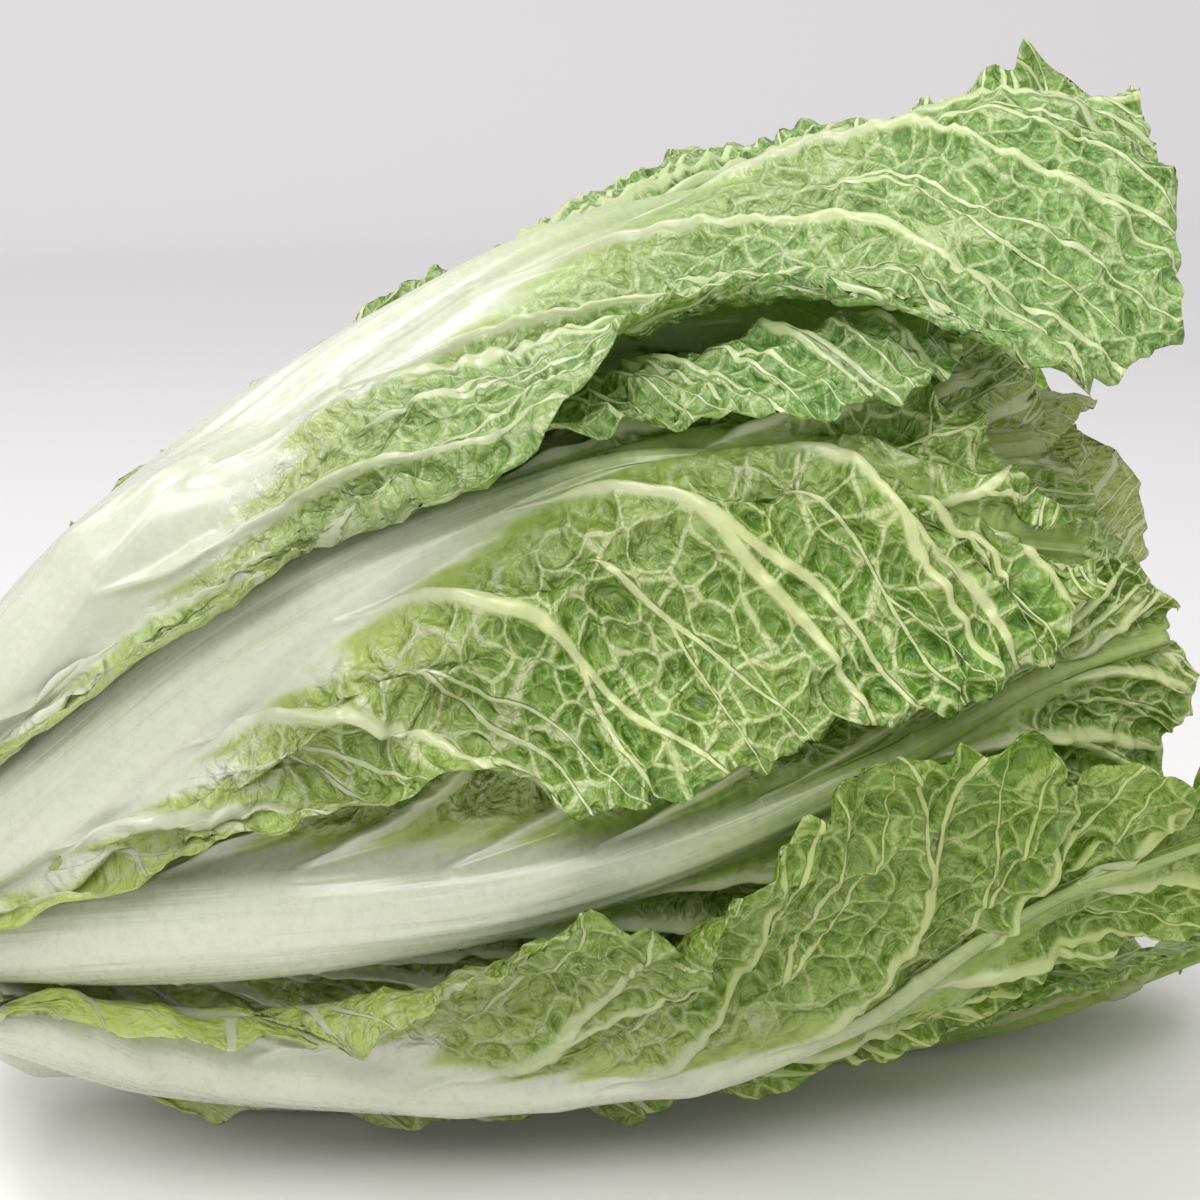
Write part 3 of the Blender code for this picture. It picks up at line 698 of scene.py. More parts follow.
@dataclass(frozen=True)
class Whorls:
    """The forms of all the leaves, from the heart out."""

    head: Head

    def plain_leaf(
        self,
        name: str,
        turn: float,
        start: float,
        tip: float,
        share: float,
        width: float,
        twist: float = 0.0,
        flare: float = 0.0,
        line: Points | None = None,
        **rest: object,
    ) -> LeafForm:
        """Draws a leaf of the usual outline, laid up the head.

        Args:
            name: The leaf's name.
            turn: Turn of its base.
            start: Distance of its base.
            tip: Distance of its tip.
            share: Its ring's share of the head's outline.
            width: Half of its greatest width.
            twist: Turn from base to tip.
            flare: Rise of its tip.
            line: Radius over distance, in place of its ring's.
            rest: Other fields of the form.

        Returns:
            The leaf's form.
        """

        def path(s: Array, part: Array) -> Array:
            """Radius of the leaf at a distance and a share of its length."""
            base = curve(line, s) if line else self.head.ring_radius(s, start, share)
            return base + flare * part**4

        part = np.linspace(0, 1, 7)
        s = start + (tip - start) * part
        spine = tuple(zip(s, turn + twist * part, path(s, part)))
        part, half = np.array(LEAF_SHAPE).T
        s = start + 0.004 + (tip + 0.002 - start) * part
        r = path(s, part)
        swing = np.degrees(width * half / np.maximum(r, LeafShape.least_radius))
        upper = tuple(zip(s, turn + twist * part + swing, r))
        lower = tuple(zip(s, turn + twist * part - swing, r))
        return LeafForm(name, spine, upper, lower, **rest)

    def heart_leaves(self) -> list[LeafForm]:
        """Draws the three small leaves folded round the heart."""
        return [
            self.plain_leaf(
                f"heart_leaf_{k + 1}", 100 + 130 * k, 0.074, 0.246 + 0.003 * k, 0.42 + 0.02 * k, 0.046,
                twist=12, flare=-0.020, wave=(0.002, 0.002), rib=SLIM_RIB, depth=SLIM_DEPTH, relief=0.5,
                veins=6, seed=60 + k, tone=Tone.HEART, detail=Detail.INNER, slot="heart_yellow",
            )
            for k in range(3)
        ]

    def inner_leaves(self) -> list[LeafForm]:
        """Draws the ring of pale leaves round the heart, each a turn and two fifths from the last."""
        return [
            self.plain_leaf(
                f"inner_leaf_{k + 1}", 40 + 144 * k, 0.046, 0.252 + 0.002 * k, 0.54 + 0.015 * k, 0.060,
                twist=8, flare=-0.026, wave=(0.003, 0.003), rib=SLIM_RIB, depth=SLIM_DEPTH, relief=0.6,
                veins=7, floor=0.037, seed=20 + k, tone=Tone.INNER, detail=Detail.INNER, slot="inner_green",
            )
            for k in range(5)
        ]

    def middle_leaves(self) -> list[LeafForm]:
        """Draws the ring under the outer leaves, longest on the far side."""
        turns_and_tips = ((200, 0.262), (-40, 0.250), (110, 0.252), (-105, 0.258), (32, 0.240), (160, 0.264))
        return [
            self.plain_leaf(
                f"middle_leaf_{k + 1}", turn, 0.024, tip, 0.72 + 0.012 * k, 0.074, twist=6, flare=-0.020,
                wave=(0.004, 0.004), rib=MID_RIB, depth=MID_DEPTH, relief=0.75, veins=8, floor=0.028,
                seed=40 + k, tone=Tone.MIDDLE, detail=Detail.INNER, slot="middle_green",
            )
            for k, (turn, tip) in enumerate(turns_and_tips)
        ]

    def far_leaves(self) -> list[LeafForm]:
        """Draws the outer leaves at the back and underneath, which the head rests on."""
        rest_line = (
            (0.0, 0.030), (0.03, 0.055), (0.06, 0.069), (0.10, 0.083), (0.15, 0.096), (0.18, 0.103),
            (0.21, 0.108), (0.235, 0.110), (0.27, 0.107),
        )
        rest_depth = (
            (0.0, 0.0075), (0.05, 0.0088), (0.12, 0.0088), (0.17, 0.0066), (0.20, 0.0040), (0.28, 0.0020),
        )
        under = self.plain_leaf(
            "outer_leaf_under", -90, 0.000, 0.258, 0.99, 0.068, twist=6, line=rest_line, depth=rest_depth,
            floor=0.004, wave=(0.003, 0.006), whiteness=1.7, detail=Detail.FAR, seed=9,
        )
        pulled_in = tuple((s, -90 + 0.75 * (turn + 90), 0.87 * r) for s, turn, r in under.upper)
        return [
            self.plain_leaf(
                "outer_leaf_back_low", -166, 0.002, 0.275, 0.93, 0.084, twist=8, wave=(0.004, 0.005),
                floor=0.0175, detail=Detail.FAR, seed=5,
            ),
            self.plain_leaf(
                "outer_leaf_back_top", 120, 0.002, 0.262, 0.86, 0.080, twist=10, wave=(0.004, 0.005),
                detail=Detail.FAR, seed=6,
            ),
            self.plain_leaf(
                "outer_leaf_under_back", -126, 0.001, 0.268, 0.94, 0.080, twist=6, wave=(0.003, 0.005),
                floor=0.0155, detail=Detail.FAR, seed=7,
            ),
            self.plain_leaf(
                "outer_leaf_back", 172, 0.001, 0.285, 1.14, 0.070, twist=8, flare=0.015,
                wave=(0.006, 0.006), detail=Detail.FAR, seed=8,
            ),
            replace(under, upper=pulled_in),
        ]

    def right_leaf(self) -> LeafForm:
        """Draws the leaf between the central and the bottom one; its end shows at the right."""
        on_body = self.head.on_body
        return LeafForm(
            "outer_leaf_right",
            spine=(
                (0.000, -1, 0.031), (0.030, -2, 0.051), (0.066, -6, 0.067), (0.102, -9, 0.078),
                (0.131, -8, 0.085), (0.177, -5, 0.0875), (0.216, -2, 0.083), (0.242, -4, 0.078),
            ),
            upper=on_body(
                -0.003, (0.002, 16), (0.030, 18), (0.060, 22), (0.090, 26), (0.120, 30), (0.150, 34),
                (0.180, 34), (0.205, 26), (0.225, 16), (0.241, 5), (0.249, -5),
            ),
            lower=on_body(
                -0.003, (0.002, -22), (0.030, -30), (0.060, -36), (0.090, -40), (0.120, -43),
                (0.150, -44), (0.180, -44), (0.210, -39), (0.232, -28), (0.244, -16), (0.249, -5),
            ),
            rib=(
                (0.0, 0.008), (0.03, 0.012), (0.06, 0.0125), (0.10, 0.009), (0.15, 0.0048), (0.20, 0.0026),
                (0.24, 0.0014),
            ),
            wave=(0.002, 0.002),
            whiteness=0.16,
            tone=Tone.CENTRE,
            seed=3,
        )

    def centre_leaf(self) -> LeafForm:
        """Draws the leaf that faces the front, its end bending down."""
        on_body = self.head.on_body
        return LeafForm(
            "outer_leaf_centre",
            spine=(
                (0.000, 29, 0.031), (0.030, 36, 0.055), (0.055, 41, 0.068), (0.087, 44, 0.080),
                (0.126, 43, 0.090), (0.153, 41, 0.093), (0.172, 36, 0.093), (0.190, 28, 0.092),
                (0.209, 18, 0.090), (0.226, 13, 0.086),
            ),
            upper=(
                (0.002, 48, 0.030), (0.030, 55, 0.054), (0.060, 59, 0.067), (0.100, 58, 0.074),
                (0.130, 56, 0.078), (0.155, 53, 0.080), (0.172, 48, 0.084), (0.188, 41, 0.090),
                (0.209, 28, 0.089), (0.229, 15, 0.085),
            ),
            lower=on_body(
                0.004, (0.002, 14), (0.020, 18), (0.037, 20), (0.050, 23), (0.060, 16), (0.078, 13),
                (0.107, 13), (0.116, 8), (0.125, 5), (0.143, 3), (0.173, 4), (0.189, 2), (0.207, 3),
                (0.219, 7), (0.229, 15),
            ),
            rib=(
                (0.0, 0.008), (0.03, 0.013), (0.06, 0.0135), (0.10, 0.0082), (0.13, 0.0034), (0.16, 0.0017),
                (0.225, 0.0010),
            ),
            depth=(
                (0.0, 0.0075), (0.05, 0.0070), (0.10, 0.0050), (0.13, 0.0034), (0.17, 0.0025),
                (0.24, 0.0018),
            ),
            wave=(0.003, 0.008),
            whiteness=0.60,
            veins=7,
            pleat=4.4,
            tone=Tone.CENTRE,
            seed=12,
        )

    def tucked_leaf(self) -> LeafForm:
        """Draws the leaf between the top and the central one; most of it is covered."""
        return LeafForm(
            "outer_leaf_tucked",
            spine=(
                (0.022, 76, 0.029), (0.060, 78, 0.056), (0.110, 78, 0.072), (0.150, 72, 0.069),
                (0.180, 66, 0.068), (0.205, 56, 0.074), (0.218, 50, 0.082),
            ),
            upper=(
                (0.024, 90, 0.028), (0.060, 98, 0.054), (0.100, 104, 0.072), (0.140, 112, 0.078),
                (0.180, 108, 0.080), (0.205, 92, 0.079), (0.220, 70, 0.081), (0.222, 48, 0.086),
            ),
            lower=(
                (0.024, 62, 0.028), (0.060, 60, 0.056), (0.090, 60, 0.078), (0.115, 54, 0.088),
                (0.139, 44, 0.090), (0.155, 42, 0.090), (0.173, 38, 0.090), (0.192, 36, 0.089),
                (0.206, 35, 0.089), (0.216, 40, 0.087), (0.222, 48, 0.085),
            ),
            rib=MID_RIB,
            depth=MID_DEPTH,
            wave=(0.002, 0.004),
            pleat=1.2,
            tone=Tone.TOP,
            detail=Detail.COVERED,
            seed=13,
        )

    def bottom_leaf(self) -> LeafForm:
        """Draws the leaf along the bottom, its end turned out towards the front."""
        on_body = self.head.on_body
        return LeafForm(
            "outer_leaf_bottom",
            spine=(
                (-0.001, -36, 0.031), (0.030, -43, 0.053), (0.057, -46, 0.066), (0.084, -48, 0.077),
                (0.112, -47, 0.085), (0.132, -46, 0.089), (0.152, -45, 0.092), (0.167, -43, 0.093),
                (0.178, -39, 0.093), (0.190, -34, 0.094), (0.208, -28, 0.097), (0.220, -26, 0.100),
                (0.232, -24, 0.103), (0.255, -22, 0.109), (0.275, -21, 0.113),
            ),
            upper=on_body(
                0.005, (0.001, -17), (0.015, -18), (0.035, -20), (0.065, -25), (0.085, -14),
                (0.099, -12), (0.115, -8), (0.127, -12), (0.134, -20), (0.140, -11), (0.152, -8),
                (0.159, -3),
            )
            + (
                (0.173, 0, 0.093), (0.188, -1, 0.096), (0.201, -2, 0.099), (0.208, -9, 0.099),
                (0.218, -9, 0.101), (0.231, -13, 0.101), (0.250, -14, 0.104), (0.270, -16, 0.110),
                (0.284, -20, 0.114),
            ),
            lower=(
                (0.001, -57, 0.031), (0.030, -64, 0.052), (0.060, -62, 0.065), (0.100, -60, 0.079),
                (0.140, -58, 0.086), (0.168, -56, 0.091), (0.190, -52, 0.094), (0.205, -48, 0.094),
                (0.222, -43, 0.096), (0.245, -37, 0.102), (0.268, -29, 0.110), (0.284, -20, 0.114),
            ),
            rib=(
                (0.0, 0.0095), (0.03, 0.0150), (0.06, 0.0150), (0.10, 0.0095), (0.15, 0.0040), (0.20, 0.0020),
                (0.28, 0.0009),
            ),
            depth=(
                (0.0, 0.0075), (0.05, 0.0070), (0.10, 0.0052), (0.15, 0.0034), (0.20, 0.0025),
                (0.28, 0.0016),
            ),
            lead=UPRIGHT,
            wave=(0.009, 0.003),
            whiteness=0.45,
            tone=Tone.BOTTOM,
            seed=14,
        )

    def top_leaf(self) -> LeafForm:
        """Draws the outermost leaf, along the top; its end flares and its near blade turns under."""
        on_body = self.head.on_body
        return LeafForm(
            "outer_leaf_top",
            spine=(
                (0.000, 62, 0.032), (0.030, 64, 0.058), (0.055, 68, 0.073), (0.079, 73, 0.082),
                (0.102, 77, 0.089), (0.126, 80, 0.094), (0.148, 82, 0.097), (0.187, 84, 0.096),
                (0.212, 85, 0.091), (0.245, 85, 0.084), (0.259, 84, 0.082), (0.270, 84, 0.084),
                (0.278, 84, 0.088),
            ),
            upper=(
                (0.002, 77, 0.029), (0.030, 80, 0.048), (0.060, 85, 0.062), (0.085, 90, 0.071),
                (0.105, 95, 0.078), (0.122, 99, 0.087), (0.134, 101, 0.090), (0.150, 106, 0.088),
                (0.172, 110, 0.095), (0.195, 112, 0.101), (0.220, 112, 0.099), (0.248, 105, 0.092),
                (0.260, 99, 0.092), (0.270, 93, 0.095), (0.278, 87, 0.101),
            ),
            lower=on_body(
                0.006, (0.002, 46), (0.029, 46), (0.054, 48), (0.072, 50), (0.089, 54), (0.098, 53),
                (0.113, 44), (0.125, 41), (0.138, 43), (0.151, 48),
            )
            + (
                (0.160, 52, 0.100), (0.172, 54, 0.102), (0.190, 51, 0.102), (0.206, 41, 0.102),
                (0.224, 34, 0.098), (0.245, 31, 0.088), (0.260, 36, 0.086), (0.267, 44, 0.088),
                (0.272, 54, 0.089), (0.277, 65, 0.088), (0.280, 74, 0.087), (0.281, 80, 0.089),
            ),
            belly=((0.0, 0.0), (0.45, 0.0), (0.6, 0.009), (0.75, 0.013), (1.0, 0.003)),
            rib=(
                (0.0, 0.0095), (0.03, 0.0155), (0.06, 0.0155), (0.10, 0.0105), (0.15, 0.0058), (0.20, 0.0026),
                (0.28, 0.0012),
            ),
            wave=(0.0025, 0.006),
            whiteness=0.75,
            tone=Tone.TOP,
            seed=11,
        )

    def inside_out(self) -> list[LeafForm]:
        """Lists every leaf in the order in which they lie on each other."""
        inside = self.heart_leaves() + self.inner_leaves() + self.middle_leaves() + self.far_leaves()
        near = [self.right_leaf(), self.centre_leaf(), self.tucked_leaf()]
        return inside + near + [self.bottom_leaf(), self.top_leaf()]


@dataclass(frozen=True)
class LeafFinish:
    """Fresh leaf of napa cabbage: a waxy skin over thin, juicy tissue, lit through where it is thin.

    The eye sees white crisp ribs that turn to pale veins, and satin green cells between them, darker towards
    their sunken middles as painted shade.
    """

    name: str
    # cell is the blade's own deeper green, which the shader puts most into each cell's sunken middle as
    # painted shade
    cell: str  # middle of a cell of the net
    fresh: str  # grown blade
    young: str  # blade near the stem, and paler patches
    vein: str
    rib: str = "#CDD0BC"
    strand: str = "#CBD2B0"  # strands along the rib
    lit_through: str = "#C6DC3A"  # tint of the light that comes through the blade
    glow: float = 0.35  # share of light that comes through where the leaf is green
    roughness: float = 0.30
    net_strength: float = 0.85
    net_cell: float = 0.0075
    fine_cell: float = 0.0029

    def material(self) -> bpy.types.Material:
        """Builds the leaf's material from the fields that its mesh carries.

        Returns:
            The material.
        """
        material = bpy.data.materials.new(self.name)
        material.use_nodes = True
        tree = material.node_tree
        tree.nodes.clear()
        read = {
            key: add_node(tree, "ShaderNodeAttribute", attribute_name=key)
            for key in (
                "vein_count", "fork", "vein_width", "vein_spacing", "green", "white", "net", "across",
                "leaf_plane",
            )
        }
        at = {key: node.outputs["Fac"] for key, node in read.items()}
        plane = read["leaf_plane"].outputs["Vector"]
        position = add_node(tree, "ShaderNodeTexCoord").outputs["Object"]
        at["vein"] = self.vein_line(tree, at)
        at["streaks"] = self.rib_streaks(tree, at["across"], plane)
        for name, size in (("wide_edge", self.net_cell), ("fine_edge", self.fine_cell)):
            at[name] = add_node(
                tree, "ShaderNodeTexVoronoi", {"Vector": plane, "Scale": 1 / size}, feature="DISTANCE_TO_EDGE"
            ).outputs["Distance"]
        # Paler patches of about 36 mm, skin grain of 2.4 mm and crumpling of 3 mm. The real skin's grain
        # is finer, and is drawn as coarse as it needs to show.
        for name, scale, detail, distortion in (
            ("patches", 28.0, 3.0, 0.0), ("grain", 420.0, 3.0, 0.0), ("crumple", 330.0, 2.5, 0.5),
        ):
            at[name] = add_node(
                tree, "ShaderNodeTexNoise",
                {"Vector": position, "Scale": scale, "Detail": detail, "Distortion": distortion},
            ).outputs["Fac"]
        for name, source, low, high, first, last, kind in (
            ("wide_line", "wide_edge", 0.018, 0.060, 1.0, 0.0, "SMOOTHSTEP"),
            ("fine_line", "fine_edge", 0.02, 0.09, 0.30, 0.0, "SMOOTHSTEP"),
            ("hollow", "wide_edge", 0.0, 0.30, 0.0, 1.0, "SMOOTHSTEP"),
            ("fine_hollow", "fine_edge", 0.02, 0.40, 0.0, 1.0, "SMOOTHSTEP"),
            ("patch", "patches", 0.35, 0.7, 0.0, 1.0, "LINEAR"),
            ("shade", "grain", 0.3, 0.7, 0.96, 1.04, "LINEAR"),
            ("gloss", "grain", 0.3, 0.7, self.roughness - 0.08, self.roughness + 0.10, "LINEAR"),
            ("thin", "white", 0.0, 1.0, self.glow, self.glow * 0.2, "LINEAR"),
        ):
            at[name] = add_node(
                tree, "ShaderNodeMapRange",
                {"Value": at[source], "From Min": low, "From Max": high, "To Min": first, "To Max": last},
                interpolation_type=kind,
            ).outputs["Result"]
        for name, operation, *values in (
            ("net_line", "MAXIMUM", "wide_line", "fine_line"),
            ("net_line", "MULTIPLY", "net_line", "net"),
            ("net_line", "MULTIPLY", "net_line", self.net_strength),
            ("pale", "MAXIMUM", "net_line", "vein"),
            # Share of the cell colour: a base share that is the blade's own deeper green, plus more towards
            # each cell's sunken middle, which is painted shade in the hollow.
            ("hollow_shade", "MULTIPLY_ADD", "hollow", 0.6, 0.25),
            ("hollow_shade", "MULTIPLY_ADD", "hollow_shade", "fine_hollow", 0.1),
            ("hollow_shade", "MULTIPLY", "hollow_shade", "green"),
            ("crumple", "MULTIPLY", "crumple", 1.7),
            ("relief", "MULTIPLY_ADD", "fine_hollow", -0.35, "crumple"),
            ("relief", "MULTIPLY_ADD", "hollow", -0.5, "relief"),
            ("relief", "MULTIPLY", "relief", "net"),
            ("beside", "SUBTRACT", 1.0, "vein"),
            ("relief", "MULTIPLY", "relief", "beside"),
            ("crest", "MULTIPLY", "vein", "net"),
            ("relief", "MULTIPLY_ADD", "crest", 0.35, "relief"),
            ("relief", "MULTIPLY_ADD", "streaks", -0.2, "relief"),
        ):
            inputs = {k: at.get(value, value) for k, value in enumerate(values)}
            at[name] = add_node(tree, "ShaderNodeMath", inputs, operation=operation).outputs[0]
        blade = self.blend(tree, linear(self.young), linear(self.fresh), at["green"])
        # Painted shade: the blade darkens to the cell colour in the cells' hollows, on top of its own deeper
        # green.
        blade = self.blend(tree, blade, linear(self.cell), at["hollow_shade"])
        blade = self.blend(tree, blade, linear(self.young), at["patch"], 0.35)
        vein = self.blend(tree, linear(self.rib), linear(self.vein), at["green"])
        blade = self.blend(tree, blade, vein, at["pale"])
        stalk = self.blend(tree, linear(self.rib), linear(self.strand), at["streaks"])
        skin = self.blend(tree, blade, stalk, at["white"])
        skin = add_node(
            tree, "ShaderNodeHueSaturation", {"Color": skin, "Value": at["shade"]}
        ).outputs["Color"]
        bump = add_node(
            tree, "ShaderNodeBump", {"Height": at["relief"], "Strength": 1.0, "Distance": 0.0017}
        ).outputs["Normal"]
        surface = add_node(
            tree, "ShaderNodeBsdfPrincipled",
            {
                "Base Color": skin, "Roughness": at["gloss"], "Normal": bump, "IOR": 1.45,
                "Specular IOR Level": 0.75, "Coat Weight": 0.25, "Coat Roughness": 0.16,
                "Subsurface Weight": 0.12, "Subsurface Radius": (1.0, 0.9, 0.35), "Subsurface Scale": 0.0025,
            },
        ).outputs["BSDF"]
        through = self.blend(tree, skin, linear(self.lit_through), at["green"], 0.35)
        glow = add_node(tree, "ShaderNodeBsdfTranslucent", {"Color": through, "Normal": bump}).outputs["BSDF"]
        leaf = add_node(tree, "ShaderNodeMixShader", {0: at["thin"], 1: surface, 2: glow}).outputs["Shader"]
        add_node(tree, "ShaderNodeOutputMaterial", {"Surface": leaf})
        return material

    @staticmethod
    def blend(
        tree: bpy.types.NodeTree,
        first: object,
        second: object,
        share: bpy.types.NodeSocket,
        most: float = 1.0,
    ) -> bpy.types.NodeSocket:
        """Blends two colours.

        Args:
            tree: The material's tree.
            first: Colour or socket at share 0.
            second: Colour or socket at share 1.
            share: Socket with the share.
            most: What the share is multiplied by.

        Returns:
            The socket with the blend.
        """
        if most != 1.0:
            share = add_node(tree, "ShaderNodeMath", {0: share, 1: most}, operation="MULTIPLY").outputs[0]
        return add_node(
            tree, "ShaderNodeMix", {"Factor": share, 6: first, 7: second}, data_type="RGBA"
        ).outputs[2]

    @staticmethod
    def vein_line(tree: bpy.types.NodeTree, field: dict[str, bpy.types.NodeSocket]) -> bpy.types.NodeSocket:
        """Draws the side veins and their forks as lines that narrow towards the margin.

        Args:
            tree: The material's tree.
            field: Sockets of the mesh's fields.

        Returns:
            A socket that is 1 on a vein and 0 beside it.
        """
        at = dict(field)
        for name, operation, *values in (
            ("nearest", "ROUND", "vein_count"),
            ("offset", "SUBTRACT", "vein_count", "nearest"),
            ("branch", "MULTIPLY_ADD", "fork", -1.0, "offset"),
            ("branch", "ABSOLUTE", "branch"),
            ("branch", "MULTIPLY", "branch", 1.3),
            ("trunk", "MULTIPLY_ADD", "fork", FORK_BEND, "offset"),
            ("trunk", "ABSOLUTE", "trunk"),
            ("near", "MINIMUM", "trunk", "branch"),
            ("near", "MULTIPLY", "near", "vein_spacing"),
            ("inside", "MULTIPLY", "vein_width", 0.7),
            ("outside", "MULTIPLY_ADD", "vein_width", 1.4, 0.02),
        ):
            inputs = {k: at.get(value, value) for k, value in enumerate(values)}
            at[name] = add_node(tree, "ShaderNodeMath", inputs, operation=operation).outputs[0]
        return add_node(
            tree, "ShaderNodeMapRange",
            {
                "Value": at["near"], "From Min": at["inside"], "From Max": at["outside"], "To Min": 1.0,
                "To Max": 0.0,
            },
            interpolation_type="SMOOTHSTEP",
        ).outputs["Result"]

    @staticmethod
    def rib_streaks(
        tree: bpy.types.NodeTree, across: bpy.types.NodeSocket, plane: bpy.types.NodeSocket
    ) -> bpy.types.NodeSocket:
        """Draws the fine strands that run along a rib.

        Args:
            tree: The material's tree.
            across: Distance across the rib.
            plane: The leaf's own coordinates.

        Returns:
            A socket of 0 to about 0.6, highest in the greyer strands.
        """
        length = add_node(tree, "ShaderNodeSeparateXYZ", {"Vector": plane}).outputs["X"]
        along_rib = add_node(tree, "ShaderNodeMath", {0: length, 1: 0.05}, operation="MULTIPLY").outputs[0]
        strand = add_node(tree, "ShaderNodeCombineXYZ", {"X": across, "Y": along_rib}).outputs["Vector"]
        noise = add_node(
            tree, "ShaderNodeTexNoise", {"Vector": strand, "Scale": 420.0, "Detail": 2.0}
        ).outputs["Fac"]
        return add_node(
            tree, "ShaderNodeMapRange", {"Value": noise, "From Min": 0.45, "From Max": 0.8, "To Max": 0.6}
        ).outputs["Result"]


@dataclass(frozen=True)
class StemFinish:
    """Cut stem of napa cabbage: crisp cream flesh, browned at the skin and in dried rings on the cut."""

    name: str = "stem flesh, knife-cut and dried at the skin"
    flesh: str = "#E9E4C8"
    dried: str = "#B99B68"

    def material(self) -> bpy.types.Material:
        """Builds the stem's material.

        Returns:
            The material.
        """
        material = bpy.data.materials.new(self.name)
        material.use_nodes = True
        tree = material.node_tree
        tree.nodes.clear()
        dry = add_node(tree, "ShaderNodeAttribute", attribute_name="dry").outputs["Fac"]
        position = add_node(tree, "ShaderNodeTexCoord").outputs["Object"]
        mottle = add_node(
            tree, "ShaderNodeTexNoise", {"Vector": position, "Scale": 260.0, "Detail": 5.0}
        ).outputs["Fac"]
        share = add_node(tree, "ShaderNodeMath", {0: dry, 1: mottle}, operation="MULTIPLY").outputs[0]
        color = LeafFinish.blend(tree, linear(self.flesh), linear(self.dried), share, 1.5)
        bump = add_node(
            tree, "ShaderNodeBump", {"Height": mottle, "Strength": 0.5, "Distance": 0.0006}
        ).outputs["Normal"]
        flesh = add_node(
            tree, "ShaderNodeBsdfPrincipled",
            {
                "Base Color": color, "Roughness": 0.55, "Normal": bump, "IOR": 1.40,
                "Subsurface Weight": 0.15, "Subsurface Radius": (1.0, 0.9, 0.5), "Subsurface Scale": 0.003,
            },
        ).outputs["BSDF"]
        add_node(tree, "ShaderNodeOutputMaterial", {"Surface": flesh})
        return material


class Finishes:
    """The finishes of the leaves, one for each tone, and of the stem."""

    def __init__(self) -> None:
        """Builds every material."""
        leaves = {
            Tone.TOP: LeafFinish(
                "napa leaf, bluish and waxy", "#47802C", "#92BE64", "#CCDA90", "#E8F2BA", roughness=0.26,
                net_strength=0.6,
            ),
            Tone.CENTRE: LeafFinish(
                "napa leaf, mid green and crinkled", "#3C6C10", "#7CAB32", "#C8D67E", "#EAF2B0"
            ),
            Tone.BOTTOM: LeafFinish(
                "napa leaf, yellow-green and lit through", "#487A0C", "#80AC22", "#C9D77E", "#DFEC98",
                glow=0.42, net_strength=0.65,
            ),
            Tone.FAR: LeafFinish(
                "napa leaf, outer side in shade", "#548A16", "#8CBA38", "#C6D972", "#E0EBA6", glow=0.5,
                net_strength=0.7,
            ),
            Tone.MIDDLE: LeafFinish("napa leaf, light green", "#7FA838", "#A6C452", "#C9D67A", "#E2EAB2"),
            Tone.INNER: LeafFinish(
                "napa leaf, pale yellow-green", "#A6BE48", "#C3D264", "#D9E08C", "#EAEFC2"
            ),
            Tone.HEART: LeafFinish("napa leaf, young and yellow", "#CDD458", "#DCE074", "#E6E892", "#F2F3CC"),
        }
        self.leaf = {tone: finish.material() for tone, finish in leaves.items()}
        self.stem = StemFinish().material()


